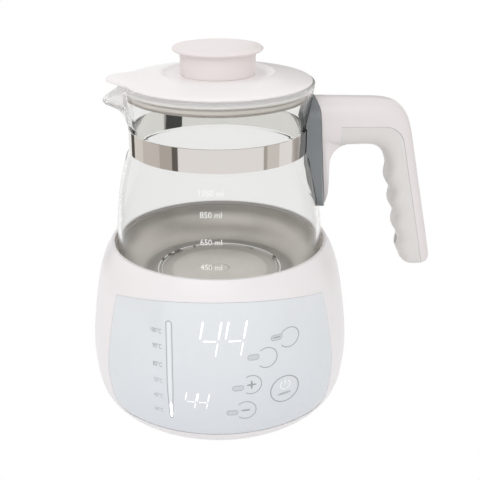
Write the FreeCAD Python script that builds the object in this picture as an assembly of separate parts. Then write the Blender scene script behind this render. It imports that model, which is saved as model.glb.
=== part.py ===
"""Baby formula kettle: glass jug with lid on a heated base, as separate pieces.

Millimetres. The origin is where the axis of the base meets the surface it stands on.
+Z is up, +X points to the handle, -X to the spout, and -Y is the front with the display.
"""

import FreeCAD, Part
import math
import os

Vector = FreeCAD.Vector

# Fits and clearances
SEAT = 0.2
ASSEMBLY_GAP = 0.3
SCREW_CLEARANCE = 0.15
HEAD_GAP = 0.1
LIFT_GAP = 0.5
BOND = 0.1
BEYOND = 1.0

# Sizes that the rest follows: the jug's radius, the base's height and the depth of its seat
JUG_RADIUS = 61.5
RIM_Z = 107.5
SEAT_DEPTH = 22.5

# Jug's corner, and the dish round it
JUG_CORNER = 17.0
DISH_JUG_GAP = 1.5
DISH_SHEET = 0.8
DISH_FLANGE = 1.9
DISH_SEAL_THICKNESS = 0.8
DISH_CORNER = JUG_CORNER + DISH_JUG_GAP
DISH_FLOOR_RADIUS = JUG_RADIUS - JUG_CORNER
DISH_RADIUS = DISH_FLOOR_RADIUS + DISH_CORNER
FLOOR_Z = RIM_Z - SEAT_DEPTH

# Base housing: the steps in radius between the points that its outside passes through, downwards
# from the rim, then the heights of those points above the table or below the rim
RIM_GAP = 0.6
CREST_STEP = 1.7
COLLAR_STEP = 2.4
SHOULDER_STEP = 3.4
CHEST_STEP = 3.2
WAIST_STEP = 3.1
BELLY_STEP = 1.6
HIP_STEP = 1.3
FLANK_STEP = 3.1
LOWER_FLANK_STEP = 5.7
HEEL_STEP = 12.9
COLLAR_DROP = 4.0
SHOULDER_DROP = 12.0
CHEST_DROP = 25.0
WAIST_DROP = 45.5
BELLY_Z = 40.0
HIP_Z = 25.0
FLANK_Z = 13.5
LOWER_FLANK_Z = 6.8
FOOT_PROUD = 1.5
LIP_DEPTH = 2.1
HOUSING_WALL = 2.6
HOUSING_TOP_WALL = 1.2
KEEP_IN_WALL = 0.3
RIM_INNER_RADIUS = DISH_RADIUS + RIM_GAP
CREST_RADIUS = RIM_INNER_RADIUS + CREST_STEP
COLLAR_RADIUS = CREST_RADIUS + COLLAR_STEP
SHOULDER_RADIUS = COLLAR_RADIUS + SHOULDER_STEP
CHEST_RADIUS = SHOULDER_RADIUS + CHEST_STEP
WAIST_RADIUS = CHEST_RADIUS + WAIST_STEP
BELLY_RADIUS = WAIST_RADIUS + BELLY_STEP
HIP_RADIUS = BELLY_RADIUS - HIP_STEP
FLANK_RADIUS = HIP_RADIUS - FLANK_STEP
LOWER_FLANK_RADIUS = FLANK_RADIUS - LOWER_FLANK_STEP
HEEL_RADIUS = LOWER_FLANK_RADIUS - HEEL_STEP

# Front panel, set into a pocket of the housing: where its edges lie behind the belly's front
PANEL_SIDE_BACK = 36.7
PANEL_TOP_BACK = 8.4
PANEL_BOTTOM_Z = 14.6
PANEL_TOP_DROP = 10.9
PANEL_TOP_SLOPE = 0.27
PANEL_LOW_CORNER = 9.0
PANEL_SINK = 0.4
PANEL_THICKNESS = 1.1
PANEL_EDGE_GAP = 0.2
PANEL_GLUE = 0.1
PANEL_SIDE_Y = PANEL_SIDE_BACK - BELLY_RADIUS
PANEL_TOP_Y = PANEL_TOP_BACK - BELLY_RADIUS
PANEL_TOP_Z = RIM_Z - PANEL_TOP_DROP

# Spreader and carrier under the dish, columns that the carrier is screwed to
SPREADER_MARGIN = 3.5
SPREADER_THICKNESS = 2.7
CARRIER_MARGIN = 1.5
CARRIER_RING_WIDTH = 7.5
CARRIER_SHEET = 1.6
CARRIER_ARM_WIDTH = 11.0
CARRIER_ARMS_AT = (90.0, 210.0, 330.0)
COLUMN_RADIUS = 3.3
COLUMN_OUTWARDS = 5.0
COLUMN_TOP_DROP = 9.5
SPREADER_RADIUS = DISH_FLOOR_RADIUS - SPREADER_MARGIN
CARRIER_INNER_RADIUS = SPREADER_RADIUS + CARRIER_MARGIN
CARRIER_OUTER_RADIUS = CARRIER_INNER_RADIUS + CARRIER_RING_WIDTH
COLUMN_CIRCLE = DISH_RADIUS + COLUMN_OUTWARDS
COLUMN_TOP_Z = RIM_Z - COLUMN_TOP_DROP

# Sprung temperature probe in the middle of the dish
PROBE_RADIUS = 5.6
PROBE_COLLAR_RADIUS = 7.2
PROBE_COLLAR_THICKNESS = 2.0
PROBE_SKIRT = 3.0
PROBE_HOLE_CLEARANCE = 0.4
HOLDER_WALL = 1.5
HOLDER_DEPTH = 15.0
SPRING_WIRE_RADIUS = 0.35
SPRING_COIL_RADIUS = 4.6
SPRING_TURNS = 5
SPRING_GUIDES = 16
SPRING_END_GAP = 0.05
WIRE_GUIDES = 8

# Cut-out beside the probe and the heater's open ring round them
CUTOUT_RADIUS = 7.0
CUTOUT_HEIGHT = 9.0
CUTOUT_GAP = 1.4
BLADE_HALF_WIDTH = 2.4
BLADE_HALF_THICKNESS = 0.4
BLADE_LENGTH = 7.0
ELEMENT_GAP = 2.2
ELEMENT_TUBE_RADIUS = 3.3
ELEMENT_SWEEP = 320.0
TERMINAL_RADIUS = 1.6
TERMINAL_LENGTH = 12.0

# Bottom cover, ring foot and the posts of the cover's screws
COVER_THICKNESS = 2.6
COVER_RIM_HEIGHT = 2.5
COVER_RIM_WALL = 1.6
HEEL_OPENING_HEIGHT = 5.0
FOOT_INSET = 2.0
FOOT_WIDTH = 4.0
FOOT_GROOVE_DEPTH = 1.3
POST_INSET = 11.0
POST_RADIUS = 4.2
POST_TOP_Z = 34.0
POSTS_AT = (45.0, 135.0, 225.0, 315.0)
RIB_THICKNESS = 2.4
RIB_BOTTOM_Z = 9.0
VENT_WIDTH = 2.6
VENT_LENGTH = 26.0
VENT_PITCH = 7.0
VENT_COUNT = 5
VENT_Y = -27.0
FOOT_OUTER_RADIUS = HEEL_RADIUS - FOOT_INSET
FOOT_INNER_RADIUS = FOOT_OUTER_RADIUS - FOOT_WIDTH
POST_CIRCLE = HEEL_RADIUS - POST_INSET

# Screws: shank and head radius, head height, lengths
SCREW_SHANK = 1.5
SCREW_HEAD = 2.8
SCREW_HEAD_HEIGHT = 1.8
COVER_SCREW_LENGTH = 14.0
CARRIER_SCREW_LENGTH = 8.0
BOARD_SCREW_LENGTH = 6.0
DISPLAY_SCREW_LENGTH = 4.0
MOUNT_SCREW_LENGTH = 6.0
CLAMP_SCREW_LENGTH = 7.0

# Display board and what it carries; places across the panel are shares of the belly's radius
DISPLAY_BOARD_BACK = 20.2
DISPLAY_WALL_GAP = 0.6
DISPLAY_BOARD_LOW_Z = 22.0
DISPLAY_BOARD_TOP_DROP = 15.6
BOARD_THICKNESS = 1.6
DISPLAY_POST_RADIUS = 2.5
DISPLAY_POST_INSET = 3.2
DISPLAY_POST_LOW_INSET = 4.5
DISPLAY_POST_HIGH_INSET = 4.0
WINDOW_MARGIN = 0.6
LIGHT_BOX_GAP = 0.4
MAIN_DIGITS = (-0.158, 0.209, 64.5, 80.5)
SMALL_DIGITS = (-0.285, -0.063, 31.5, 46.0)
LEVEL_GUIDE = (-0.392, -0.329, 24.0, 78.0)
TOUCH_PAD_RADIUS = 2.6
KEYS = ((0.49, 70.6), (0.328, 62.3), (0.219, 48.4), (0.178, 32.1), (0.461, 41.3))
DISPLAY_BOARD_Y = DISPLAY_BOARD_BACK - BELLY_RADIUS
DISPLAY_BOARD_HIGH_Z = PANEL_TOP_Z - DISPLAY_BOARD_TOP_DROP
DISPLAY_CORNER_RADIUS = CHEST_RADIUS - HOUSING_WALL - DISPLAY_WALL_GAP
DISPLAY_BOARD_HALF_WIDTH = math.sqrt(DISPLAY_CORNER_RADIUS ** 2 - DISPLAY_BOARD_Y ** 2)
DISPLAY_POST_X = DISPLAY_BOARD_HALF_WIDTH - DISPLAY_POST_INSET
DISPLAY_POST_LOW_Z = DISPLAY_BOARD_LOW_Z + DISPLAY_POST_LOW_INSET
DISPLAY_POST_HIGH_Z = DISPLAY_BOARD_HIGH_Z - DISPLAY_POST_HIGH_INSET

# Power board between the posts and what it carries: sizes, and places as shares of the board
POWER_BOARD_POST_GAP = 3.6
POWER_BOARD_ASPECT = 1.4
POWER_BOARD_Z = 20.0
POWER_BOARD_INSET = 4.0
STANDOFF_RADIUS = 3.0
TRANSFORMER_SIZE = (24.0, 20.0, 18.0)
TRANSFORMER_AT = (-0.15, -0.17)
BOBBIN_WIDTH_SHARE = 0.6
BOBBIN_PROUD = 2.5
BOBBIN_HEIGHT_SHARE = 0.7
RELAY_SIZE = (19.0, 15.5, 15.0)
RELAY_AT = (0.28, -0.19)
TERMINAL_BLOCK_SIZE = (20.0, 10.0, 11.0)
TERMINAL_BLOCK_AT = (-0.15, 0.31)
WIRE_ENTRY_RADIUS = 1.6
WIRE_ENTRY_HEIGHT = 4.0
BUZZER_AT = (0.21, 0.27)
BUZZER_RADIUS = 6.0
BUZZER_HEIGHT = 8.0
BUZZER_HOLE_RADIUS = 1.2
BUZZER_HOLE_DEPTH = 2.0
POWER_BOARD_Y = 2 * (POST_CIRCLE * math.sqrt(0.5) - POST_RADIUS - POWER_BOARD_POST_GAP)
POWER_BOARD_X = POWER_BOARD_Y * POWER_BOARD_ASPECT

# Cord gland at the rear with its boot outside, and the clamp in front of it
GLAND_Z = 24.0
GLAND_BORE_RADIUS = 3.4
GLAND_GRIP_LENGTH = 10.0
GLAND_RELIEF = 0.8
GLAND_BODY_RADIUS = 6.0
GLAND_COLLAR_RADIUS = 7.6
GLAND_COLLAR_THICKNESS = 2.8
GLAND_COLLAR_SINK = 5.8
GLAND_INNER_BACK = 13.0
GLAND_HOLE_CLEARANCE = 0.15
GLAND_BACKING = 3.0
BOOT_END_OUTWARDS = 11.5
BOOT_END_RADIUS = 4.9
CLAMP_BACK = 29.5
CLAMP_LENGTH = 24.0
CLAMP_WIDTH = 8.0
CLAMP_HEIGHT = 5.0
CLAMP_BLOCK_HEIGHT = 16.0
CORD_RADIUS = 3.3
GLAND_COLLAR_SEAT_Y = BELLY_RADIUS - GLAND_COLLAR_SINK
GLAND_INNER_Y = BELLY_RADIUS - GLAND_INNER_BACK
BOOT_END_Y = BELLY_RADIUS + BOOT_END_OUTWARDS
CLAMP_Y = BELLY_RADIUS - CLAMP_BACK

# Glass jug: steps in radius and in height between the points that its side passes through
JUG_WALL = 2.2
JUG_FLOOR = 3.0
SIDE_TOP_RISE = 27.8
UPPER_SIDE_DRAW = 1.2
UPPER_SIDE_RISE = 16.0
SLOPE_DRAW = 2.1
SLOPE_RISE = 15.0
SHOULDER_DRAW = 3.0
SHOULDER_RISE = 12.0
NECK_SHOULDER_DRAW = 1.6
NECK_SHOULDER_RISE = 5.4
NECK_DRAW = 2.2
NECK_RISE = 2.5
NECK_HEIGHT = 13.5
NECK_BLEND = 1.5
MOUTH_HEIGHT = 25.4
MOUTH_FLARE = 4.0
MOUTH_STEP = 0.12
MOUTH_GUIDES = 48
SPOUT_RISE = 14.1
SPOUT_REACH = 12.9
SPOUT_HALF_ANGLE = 25.0
SPOUT_FLOOR = 1.8
SPOUT_RIM_OUTWARDS = 7.2
SPOUT_RIM_DROP = 3.4
SPOUT_RIM_TILT = 44.0
JUG_BOTTOM_Z = FLOOR_Z + SEAT
JUG_SIDE_TOP_Z = JUG_BOTTOM_Z + SIDE_TOP_RISE
JUG_UPPER_SIDE_RADIUS = JUG_RADIUS - UPPER_SIDE_DRAW
JUG_UPPER_SIDE_Z = JUG_SIDE_TOP_Z + UPPER_SIDE_RISE
JUG_SLOPE_RADIUS = JUG_UPPER_SIDE_RADIUS - SLOPE_DRAW
JUG_SLOPE_Z = JUG_UPPER_SIDE_Z + SLOPE_RISE
JUG_SHOULDER_RADIUS = JUG_SLOPE_RADIUS - SHOULDER_DRAW
JUG_SHOULDER_Z = JUG_SLOPE_Z + SHOULDER_RISE
NECK_SHOULDER_RADIUS = JUG_SHOULDER_RADIUS - NECK_SHOULDER_DRAW
NECK_SHOULDER_Z = JUG_SHOULDER_Z + NECK_SHOULDER_RISE
NECK_RADIUS = NECK_SHOULDER_RADIUS - NECK_DRAW
NECK_LOW_Z = NECK_SHOULDER_Z + NECK_RISE
SPOUT_LOW_Z = NECK_LOW_Z + NECK_HEIGHT
SPOUT_FULL_Z = SPOUT_LOW_Z + SPOUT_RISE
MOUTH_RADIUS = NECK_RADIUS + MOUTH_FLARE
MOUTH_Z = SPOUT_LOW_Z + MOUTH_HEIGHT
SPOUT_RIM_X = -NECK_RADIUS - SPOUT_RIM_OUTWARDS
SPOUT_RIM_Z = MOUTH_Z - SPOUT_RIM_DROP

# Neck band, its nut and its clamp screw
BAND_EDGE_GAP = 0.1
BAND_SHEET = 0.7
BAND_TAB_REACH = 5.0
BAND_TAB_SPACING = 6.4
BAND_TAB_ROOT = 0.2
NUT_LENGTH = 4.0
NUT_HALF_HEIGHT = 4.0
NUT_SIDE_GAP = 0.1
NUT_BORE_CLEARANCE = 0.02
CLAMP_BOLT_RADIUS = 2.0
CLAMP_BOLT_HEAD = 3.4
CLAMP_BOLT_HEAD_HEIGHT = 2.4
CLAMP_BOLT_LENGTH = 9.2
BAND_LOW_Z = NECK_LOW_Z + BAND_EDGE_GAP
BAND_HIGH_Z = SPOUT_LOW_Z - BAND_EDGE_GAP
BAND_MIDDLE_Z = (BAND_LOW_Z + BAND_HIGH_Z) / 2
BAND_INNER_RADIUS = NECK_RADIUS + SEAT
BAND_OUTER_RADIUS = BAND_INNER_RADIUS + BAND_SHEET

# Grey mount between the jug and the handle: half widths and drops below its top
MOUNT_TOP_DROP = 8.2
MOUNT_LENGTH = 66.1
MOUNT_CROWN_HALF = 8.0
MOUNT_CROWN_DROP = 1.8
MOUNT_TOP_HALF = 12.0
MOUNT_TOP_CORNER_DROP = 6.1
MOUNT_BAND_HALF = 15.0
MOUNT_BAND_DROP = 13.6
MOUNT_BAND_HEIGHT = 11.0
MOUNT_WIDE_HALF = 18.5
MOUNT_WIDE_DROP = 51.6
MOUNT_LOW_HALF = 16.0
MOUNT_LOW_DROP = 61.1
MOUNT_TIP_HALF = 10.0
MOUNT_TIP_RISE = 1.5
MOUNT_FACE_OUTWARDS = 7.3
MOUNT_FACE_LOW_OUTWARDS = 1.7
MOUNT_BARREL_TOP_RADIUS = 95.0
MOUNT_BARREL_LOW_RADIUS = 65.0
MOUNT_BARREL_OVERRUN = 6.0
MOUNT_ROUND_DROP = 9.0
MOUNT_ROUND_DEPTH = 3.4
MOUNT_SCREW_HIGH_DROP = 9.6
MOUNT_SCREW_LOW_DROP = 38.6
MOUNT_SCREW_SINK = 2.0
POCKET_HALF_WIDTH = 6.0
POCKET_MARGIN = 2.0
MOUNT_TOP_Z = MOUTH_Z - MOUNT_TOP_DROP
MOUNT_TIP_Z = MOUNT_TOP_Z - MOUNT_LENGTH
MOUNT_FACE_TOP_X = NECK_RADIUS + MOUNT_FACE_OUTWARDS
MOUNT_FACE_LOW_X = JUG_RADIUS + MOUNT_FACE_LOW_OUTWARDS
MOUNT_SCREW_HIGH_Z = MOUNT_TOP_Z - MOUNT_SCREW_HIGH_DROP
MOUNT_SCREW_LOW_Z = MOUNT_TOP_Z - MOUNT_SCREW_LOW_DROP

# Handle, as seen from the side: reaches from the mount's face and drops below the arm's top
ARM_TOP_DROP = 0.6
ARM_HEIGHT = 27.7
ARM_FALL = 0.7
ARM_ROOT_SQUARENESS = 4.5
HANDLE_REACH = 53.6
HANDLE_LEAN = 16.3
HANDLE_BACK_TOP_DROP = 18.0
HANDLE_BACK_LOW_DROP = 97.0
HANDLE_OUTER_CORNER = 17.3
HANDLE_INNER_CORNER = 10.3
HANDLE_CORNER_INSET = 0.5
HANDLE_LENGTH = 102.8
GRIP_TOP_DEPTH = 13.6
GRIP_TOP_DROP = 44.0
GRIP_LOW_DEPTH = 18.4
GRIP_LOW_DROP = 98.0
WAVE_DEPTH = 1.0
WAVE_FIRST_DROP = 49.0
WAVE_PITCH = 14.7
HANDLE_GUIDES = 20
HANDLE_HALF_WIDTH = 12.5
HANDLE_SQUARENESS = 2.7
HANDLE_WALL = 2.6
HANDLE_ROOT_OVERLAP = 3.0
TAIL_TIP_DROP = 64.0
TAIL_THICKNESS = 5.8
TAIL_CORNER = 10.0
TAIL_ROOT_OVERLAP = 4.0
TAIL_TIP_BEVEL = 1.1
TAIL_TIP_BEVEL_RISE = 7.0
TAIL_SHOULDER_RISE = 12.0
TAIL_SIDE_INSET = 0.8
TAIL_NARROWING = 1.9
TAIL_NARROW_REACH = 4.0
TAIL_NARROW_END = 10.0
SEAM_START_BACK = 6.1
SEAM_DROP = 15.5
SEAM_CORNER = 11.0
SEAM_BACK_DEPTH = 4.9
SEAM_BACK_LOW_OUTWARDS = 0.5
SEAM_WIDTH = 0.12
SEAM_OVERRUN = 28.6
HANDLE_SCREW_LENGTH = 12.0
HANDLE_SCREW_DEPTH = 5.0
HANDLE_POST_RADIUS = 4.0
HANDLE_POST_SKIN = 0.5
HANDLE_POST_START = 6.5
GRIP_POST_RADIUS = 5.0
GRIP_POST_RISE = 2.0
ARM_SCREW_BACK = 15.5
ARM_TOP_Z = MOUNT_TOP_Z - ARM_TOP_DROP
ARM_BOTTOM_Z = ARM_TOP_Z - ARM_HEIGHT
HANDLE_BACK_TOP_X = MOUNT_FACE_TOP_X + HANDLE_REACH
HANDLE_BACK_LOW_X = HANDLE_BACK_TOP_X + HANDLE_LEAN
HANDLE_BACK_TOP_Z = ARM_TOP_Z - HANDLE_BACK_TOP_DROP
HANDLE_BACK_LOW_Z = ARM_TOP_Z - HANDLE_BACK_LOW_DROP
HANDLE_END_Z = ARM_TOP_Z - HANDLE_LENGTH
GRIP_TOP_X = HANDLE_BACK_TOP_X - GRIP_TOP_DEPTH
GRIP_TOP_Z = ARM_TOP_Z - GRIP_TOP_DROP
GRIP_LOW_X = HANDLE_BACK_LOW_X - GRIP_LOW_DEPTH
GRIP_LOW_Z = ARM_TOP_Z - GRIP_LOW_DROP
WAVE_FIRST_Z = ARM_TOP_Z - WAVE_FIRST_DROP
TAIL_TIP_Z = ARM_TOP_Z - TAIL_TIP_DROP
TAIL_BACK_X = MOUNT_FACE_TOP_X + TAIL_THICKNESS
SEAM_START_X = TAIL_BACK_X + SEAM_START_BACK
SEAM_Z = ARM_TOP_Z - SEAM_DROP
SEAM_BACK_TOP_X = HANDLE_BACK_TOP_X - SEAM_BACK_DEPTH
SEAM_BACK_LOW_X = HANDLE_BACK_LOW_X + SEAM_BACK_LOW_OUTWARDS

# Lid: insets from the mouth and heights above the cover's edge
LID_EDGE_GAP = 0.2
LID_INSET = 1.3
LID_EDGE_HEIGHT = 1.2
LID_SHOULDER_INSET = 1.4
LID_SHOULDER_RISE = 1.9
LID_BEVEL_INSET = 3.6
LID_BEVEL_RISE = 2.4
LID_CROWN_INSET = 13.6
LID_CROWN_RISE = 4.3
LID_WELL_INSET = 21.6
LID_WELL_RISE = 5.8
LID_WELL_DEPTH = 1.5
LID_WELL_SLOPE = 3.0
LID_WALL = 2.2
BEAK_REACH = 9.9
BEAK_TIP_HALF = 1.6
BEAK_TIP_FALL = 2.1
BEAK_BACK = 24.0
BEAK_BACK_HALF = 31.0
BEAK_BACK_RISE = 3.6
BEAK_SECTIONS = 7
BEAK_ROOT_HALF = 9.0
BEAK_ROOT_INWARDS = 3.4
BEAK_TOP_RISE = 4.3
BEAK_KEEL_DROP = 3.4
BEAK_KEEL_OUTWARDS = 3.4
BEAK_KEEL_SLOPE = 5.5
BEAK_LOW_EDGE = 1.0
PLUG_INSET = 2.0
PLUG_DEPTH = 9.3
PLUG_WALL = 2.0
PLUG_FLOOR = 2.0
PLUG_EDGE = 1.0
PLUG_EDGE_HEIGHT = 0.7
POUR_GAP_HALF_ANGLE = 15.0
POUR_GAP_HALF_WIDTH = 12.5
SEAL_SLEEVE = 1.0
SEAL_TOP_DROP = 1.6
SEAL_LIP_HEIGHT = 1.4
KNOB_HEIGHT = 15.4
KNOB_DISC_RADIUS = 25.9
KNOB_DISC_THICKNESS = 2.2
KNOB_DISC_EDGE = 0.9
KNOB_STEM_TOP_RADIUS = 21.7
KNOB_STEM_LOW_RADIUS = 21.2
KNOB_WALL = 2.2
KNOB_BOSS_RADIUS = 5.0
KNOB_SCREW_LENGTH = 12.0
LID_SCREW_PLATE = 1.8
LID_EDGE_Z = MOUTH_Z + LID_EDGE_GAP
LID_RADIUS = MOUTH_RADIUS - LID_INSET
LID_BEVEL_RADIUS = LID_RADIUS - LID_BEVEL_INSET
LID_BEVEL_Z = LID_EDGE_Z + LID_BEVEL_RISE
LID_CROWN_RADIUS = LID_RADIUS - LID_CROWN_INSET
LID_CROWN_Z = LID_EDGE_Z + LID_CROWN_RISE
LID_WELL_RADIUS = LID_RADIUS - LID_WELL_INSET
LID_WELL_Z = LID_EDGE_Z + LID_WELL_RISE
LID_FLOOR_Z = LID_WELL_Z - LID_WELL_DEPTH
PLUG_RADIUS = NECK_RADIUS - PLUG_INSET
PLUG_BOTTOM_Z = LID_EDGE_Z - PLUG_DEPTH
SEAL_LOW_Z = PLUG_BOTTOM_Z + PLUG_EDGE_HEIGHT
SEAL_HIGH_Z = LID_EDGE_Z - SEAL_TOP_DROP
BEAK_TIP_X = -LID_RADIUS - BEAK_REACH
BEAK_ROOT_X = BEAK_ROOT_INWARDS - PLUG_RADIUS
BEAK_TOP_Z = LID_EDGE_Z + BEAK_TOP_RISE
BEAK_KEEL_Z = LID_EDGE_Z - BEAK_KEEL_DROP
BEAK_KEEL_X = -PLUG_RADIUS - BEAK_KEEL_OUTWARDS
KNOB_BOTTOM_Z = LID_FLOOR_Z + BOND
KNOB_TOP_Z = KNOB_BOTTOM_Z + KNOB_HEIGHT

# Heights and radii that follow from several of the groups above
COLLAR_Z = RIM_Z - COLLAR_DROP
SHOULDER_Z = RIM_Z - SHOULDER_DROP
CHEST_Z = RIM_Z - CHEST_DROP
WAIST_Z = RIM_Z - WAIST_DROP
COVER_BOTTOM_Z = FOOT_PROUD
COVER_TOP_Z = COVER_BOTTOM_Z + COVER_THICKNESS
COVER_RADIUS = HEEL_RADIUS - SEAT
LIP_UNDERSIDE_Z = RIM_Z - LIP_DEPTH
DISH_UNDERSIDE_Z = FLOOR_Z - DISH_SHEET
FLANGE_TOP_Z = LIP_UNDERSIDE_Z - DISH_SEAL_THICKNESS
SPREADER_BOTTOM_Z = DISH_UNDERSIDE_Z - SPREADER_THICKNESS
CARRIER_BOTTOM_Z = DISH_UNDERSIDE_Z - SEAT - CARRIER_SHEET
COLUMN_BOTTOM_Z = CARRIER_BOTTOM_Z + CARRIER_SHEET
PROBE_TOP_Z = JUG_BOTTOM_Z - ASSEMBLY_GAP
PROBE_HOLE_RADIUS = PROBE_RADIUS + PROBE_HOLE_CLEARANCE
PROBE_COLLAR_TOP_Z = SPREADER_BOTTOM_Z - SEAT
PROBE_BOTTOM_Z = PROBE_COLLAR_TOP_Z - PROBE_COLLAR_THICKNESS - PROBE_SKIRT
HOLDER_INNER_RADIUS = PROBE_COLLAR_RADIUS + PROBE_HOLE_CLEARANCE
HOLDER_BOTTOM_Z = SPREADER_BOTTOM_Z - HOLDER_DEPTH
CUTOUT_OFFSET = HOLDER_INNER_RADIUS + HOLDER_WALL + CUTOUT_GAP + CUTOUT_RADIUS
ELEMENT_RING_RADIUS = CUTOUT_OFFSET + CUTOUT_RADIUS + ELEMENT_GAP + ELEMENT_TUBE_RADIUS


def write(name, *solids):
    """Write one node as a STEP file, a group of solids as one compound."""
    os.makedirs("parts", exist_ok=True)
    shape = solids[0] if len(solids) == 1 else Part.makeCompound(list(solids))
    shape.exportStep("parts/" + name + ".step")


def cylinder(radius, low, high, x=0.0, y=0.0):
    """An upright cylinder between two heights."""
    return Part.makeCylinder(radius, high - low, Vector(x, y, low))


def tube(outer, inner, low, high, x=0.0, y=0.0):
    """An upright tube between two heights."""
    return cylinder(outer, low, high, x, y).cut(cylinder(inner, low, high, x, y))


def rod(radius, start, end):
    """A cylinder from one point to another."""
    along = end - start
    return Part.makeCylinder(radius, along.Length, start, along)


def block(x0, x1, y0, y1, z0, z1):
    """A box between two corners."""
    return Part.makeBox(x1 - x0, y1 - y0, z1 - z0, Vector(x0, y0, z0))


def around(angle, radius, z=0.0):
    """The point at an angle in degrees and a radius about the axis."""
    turn = math.radians(angle)
    return Vector(radius * math.cos(turn), radius * math.sin(turn), z)


def line(start, end):
    return Part.LineSegment(start, end).toShape()


def arc(start, middle, end):
    return Part.Arc(start, middle, end).toShape()


def arc_about(centre, radius, first, last, up):
    """An arc about a centre between two angles, in the plane of +X and the vector up."""
    def at(angle):
        turn = math.radians(angle)
        return centre + Vector(1, 0, 0) * radius * math.cos(turn) + up * radius * math.sin(turn)
    return arc(at(first), at((first + last) / 2), at(last))


def spline(points, start=None, end=None):
    """A smooth curve through the points, with its end directions where they are given."""
    curve = Part.BSplineCurve()
    if start is None:
        curve.interpolate(Points=points)
    else:
        curve.interpolate(Points=points, InitialTangent=start, FinalTangent=end)
    return curve


def profile_point(radius, z):
    return Vector(radius, 0, z)


def polyline(pairs):
    """The straight edges through radius and height pairs."""
    points = [profile_point(r, z) for r, z in pairs]
    return [line(a, b) for a, b in zip(points, points[1:])]


def turned(edges):
    """The solid that a closed outline of edges sweeps about the axis."""
    wire = Part.Wire(Part.__sortEdges__(edges))
    return Part.Face(wire).revolve(Vector(0, 0, 0), Vector(0, 0, 1), 360)


def lathe(pairs):
    """The solid that a closed polygon of radius and height pairs sweeps about the axis."""
    return turned(polyline(list(pairs) + [pairs[0]]))


def net_solid(rings):
    """A smooth solid along closed rings of guide points; its flat ends lie on the outer rings."""
    across = len(rings[0])
    along = len(rings)
    spans = along - 3
    surface = Part.BSplineSurface()
    surface.buildFromPolesMultsKnots(
        rings,
        [4] + [1] * (spans - 1) + [4],
        [1] * (across + 1),
        [i / spans for i in range(spans + 1)],
        [i / across for i in range(across + 1)],
        False,
        True,
        3,
        3,
    )
    side = surface.toShape()
    ends = []
    for at in (0.0, 1.0):
        ends.append(Part.Face(Part.Wire([surface.uIso(at).toShape()])))
    solid = Part.makeSolid(Part.makeShell([side] + ends))
    if solid.Volume < 0:
        solid.reverse()
    return solid


def guide_swell(count):
    """How much further out than the surface a ring of count guide points has to lie."""
    return 3.0 / (2.0 + math.cos(2 * math.pi / count))


def inset_points(curve, inset, count):
    """Points of a curve in the XZ plane, moved to its inner side by a distance."""
    points = []
    first, last = curve.FirstParameter, curve.LastParameter
    for i in range(count + 1):
        at = first + (last - first) * i / count
        tangent = curve.tangent(at)[0]
        points.append(curve.value(at) + Vector(-tangent.z, 0, tangent.x) * inset)
    return points


def screw(head_centre, direction, length):
    """A pan head screw: its head ends at head_centre and its shank runs on along direction."""
    along = Vector(direction)
    along.normalize()
    head = rod(SCREW_HEAD, head_centre - along * SCREW_HEAD_HEIGHT, head_centre)
    return head.fuse(rod(SCREW_SHANK, head_centre, head_centre + along * length))


# Base housing

def flank_curve():
    """The outside of the housing from its heel to its crest."""
    points = [
        profile_point(HEEL_RADIUS, COVER_BOTTOM_Z),
        profile_point(LOWER_FLANK_RADIUS, LOWER_FLANK_Z),
        profile_point(FLANK_RADIUS, FLANK_Z),
        profile_point(HIP_RADIUS, HIP_Z),
        profile_point(BELLY_RADIUS, BELLY_Z),
        profile_point(WAIST_RADIUS, WAIST_Z),
        profile_point(CHEST_RADIUS, CHEST_Z),
        profile_point(SHOULDER_RADIUS, SHOULDER_Z),
        profile_point(COLLAR_RADIUS, COLLAR_Z),
        profile_point(CREST_RADIUS, RIM_Z),
    ]
    return spline(points)


def housing_solid(inset):
    """The housing as if it were solid, with its surface moved inwards by inset."""
    points = inset_points(flank_curve(), inset, 24)
    flank = spline(points)
    low, high = points[0], points[-1]
    edges = [
        line(Vector(0, 0, low.z), low),
        flank.toShape(),
        line(high, Vector(0, 0, high.z)),
        line(Vector(0, 0, high.z), Vector(0, 0, low.z)),
    ]
    return turned(edges)


def panel_prism(gap):
    """The block, seen from the side, whose overlap with the housing is the panel's area."""
    far_y = -BELLY_RADIUS - PANEL_LOW_CORNER
    side_y = PANEL_SIDE_Y - gap
    low_z = PANEL_BOTTOM_Z + gap
    radius = PANEL_LOW_CORNER - gap

    def top_z(y):
        return PANEL_TOP_Z - gap - PANEL_TOP_SLOPE * (y - PANEL_TOP_Y)

    corner = math.sqrt(0.5) * radius
    centre_y, centre_z = side_y - radius, low_z + radius
    edges = [
        line(Vector(0, far_y, low_z), Vector(0, centre_y, low_z)),
        arc(
            Vector(0, centre_y, low_z),
            Vector(0, centre_y + corner, centre_z - corner),
            Vector(0, side_y, centre_z),
        ),
        line(Vector(0, side_y, centre_z), Vector(0, side_y, top_z(side_y))),
        line(Vector(0, side_y, top_z(side_y)), Vector(0, far_y, top_z(far_y))),
        line(Vector(0, far_y, top_z(far_y)), Vector(0, far_y, low_z)),
    ]
    face = Part.Face(Part.Wire(edges))
    return face.extrude(Vector(-2 * far_y, 0, 0)).translated(Vector(far_y, 0, 0))


def panel_block(area, margin):
    """A box from the display board to beyond the panel. The area's limits across are shares of
    the belly's radius, the others are heights, and the margin is added all round."""
    share0, share1, z0, z1 = area
    x0, x1 = share0 * BELLY_RADIUS - margin, share1 * BELLY_RADIUS + margin
    return block(x0, x1, -BELLY_RADIUS, DISPLAY_BOARD_Y, z0 - margin, z1 + margin)


def display_post_places():
    for x in (-DISPLAY_POST_X, DISPLAY_POST_X):
        for z in (DISPLAY_POST_LOW_Z, DISPLAY_POST_HIGH_Z):
            yield x, z


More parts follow.
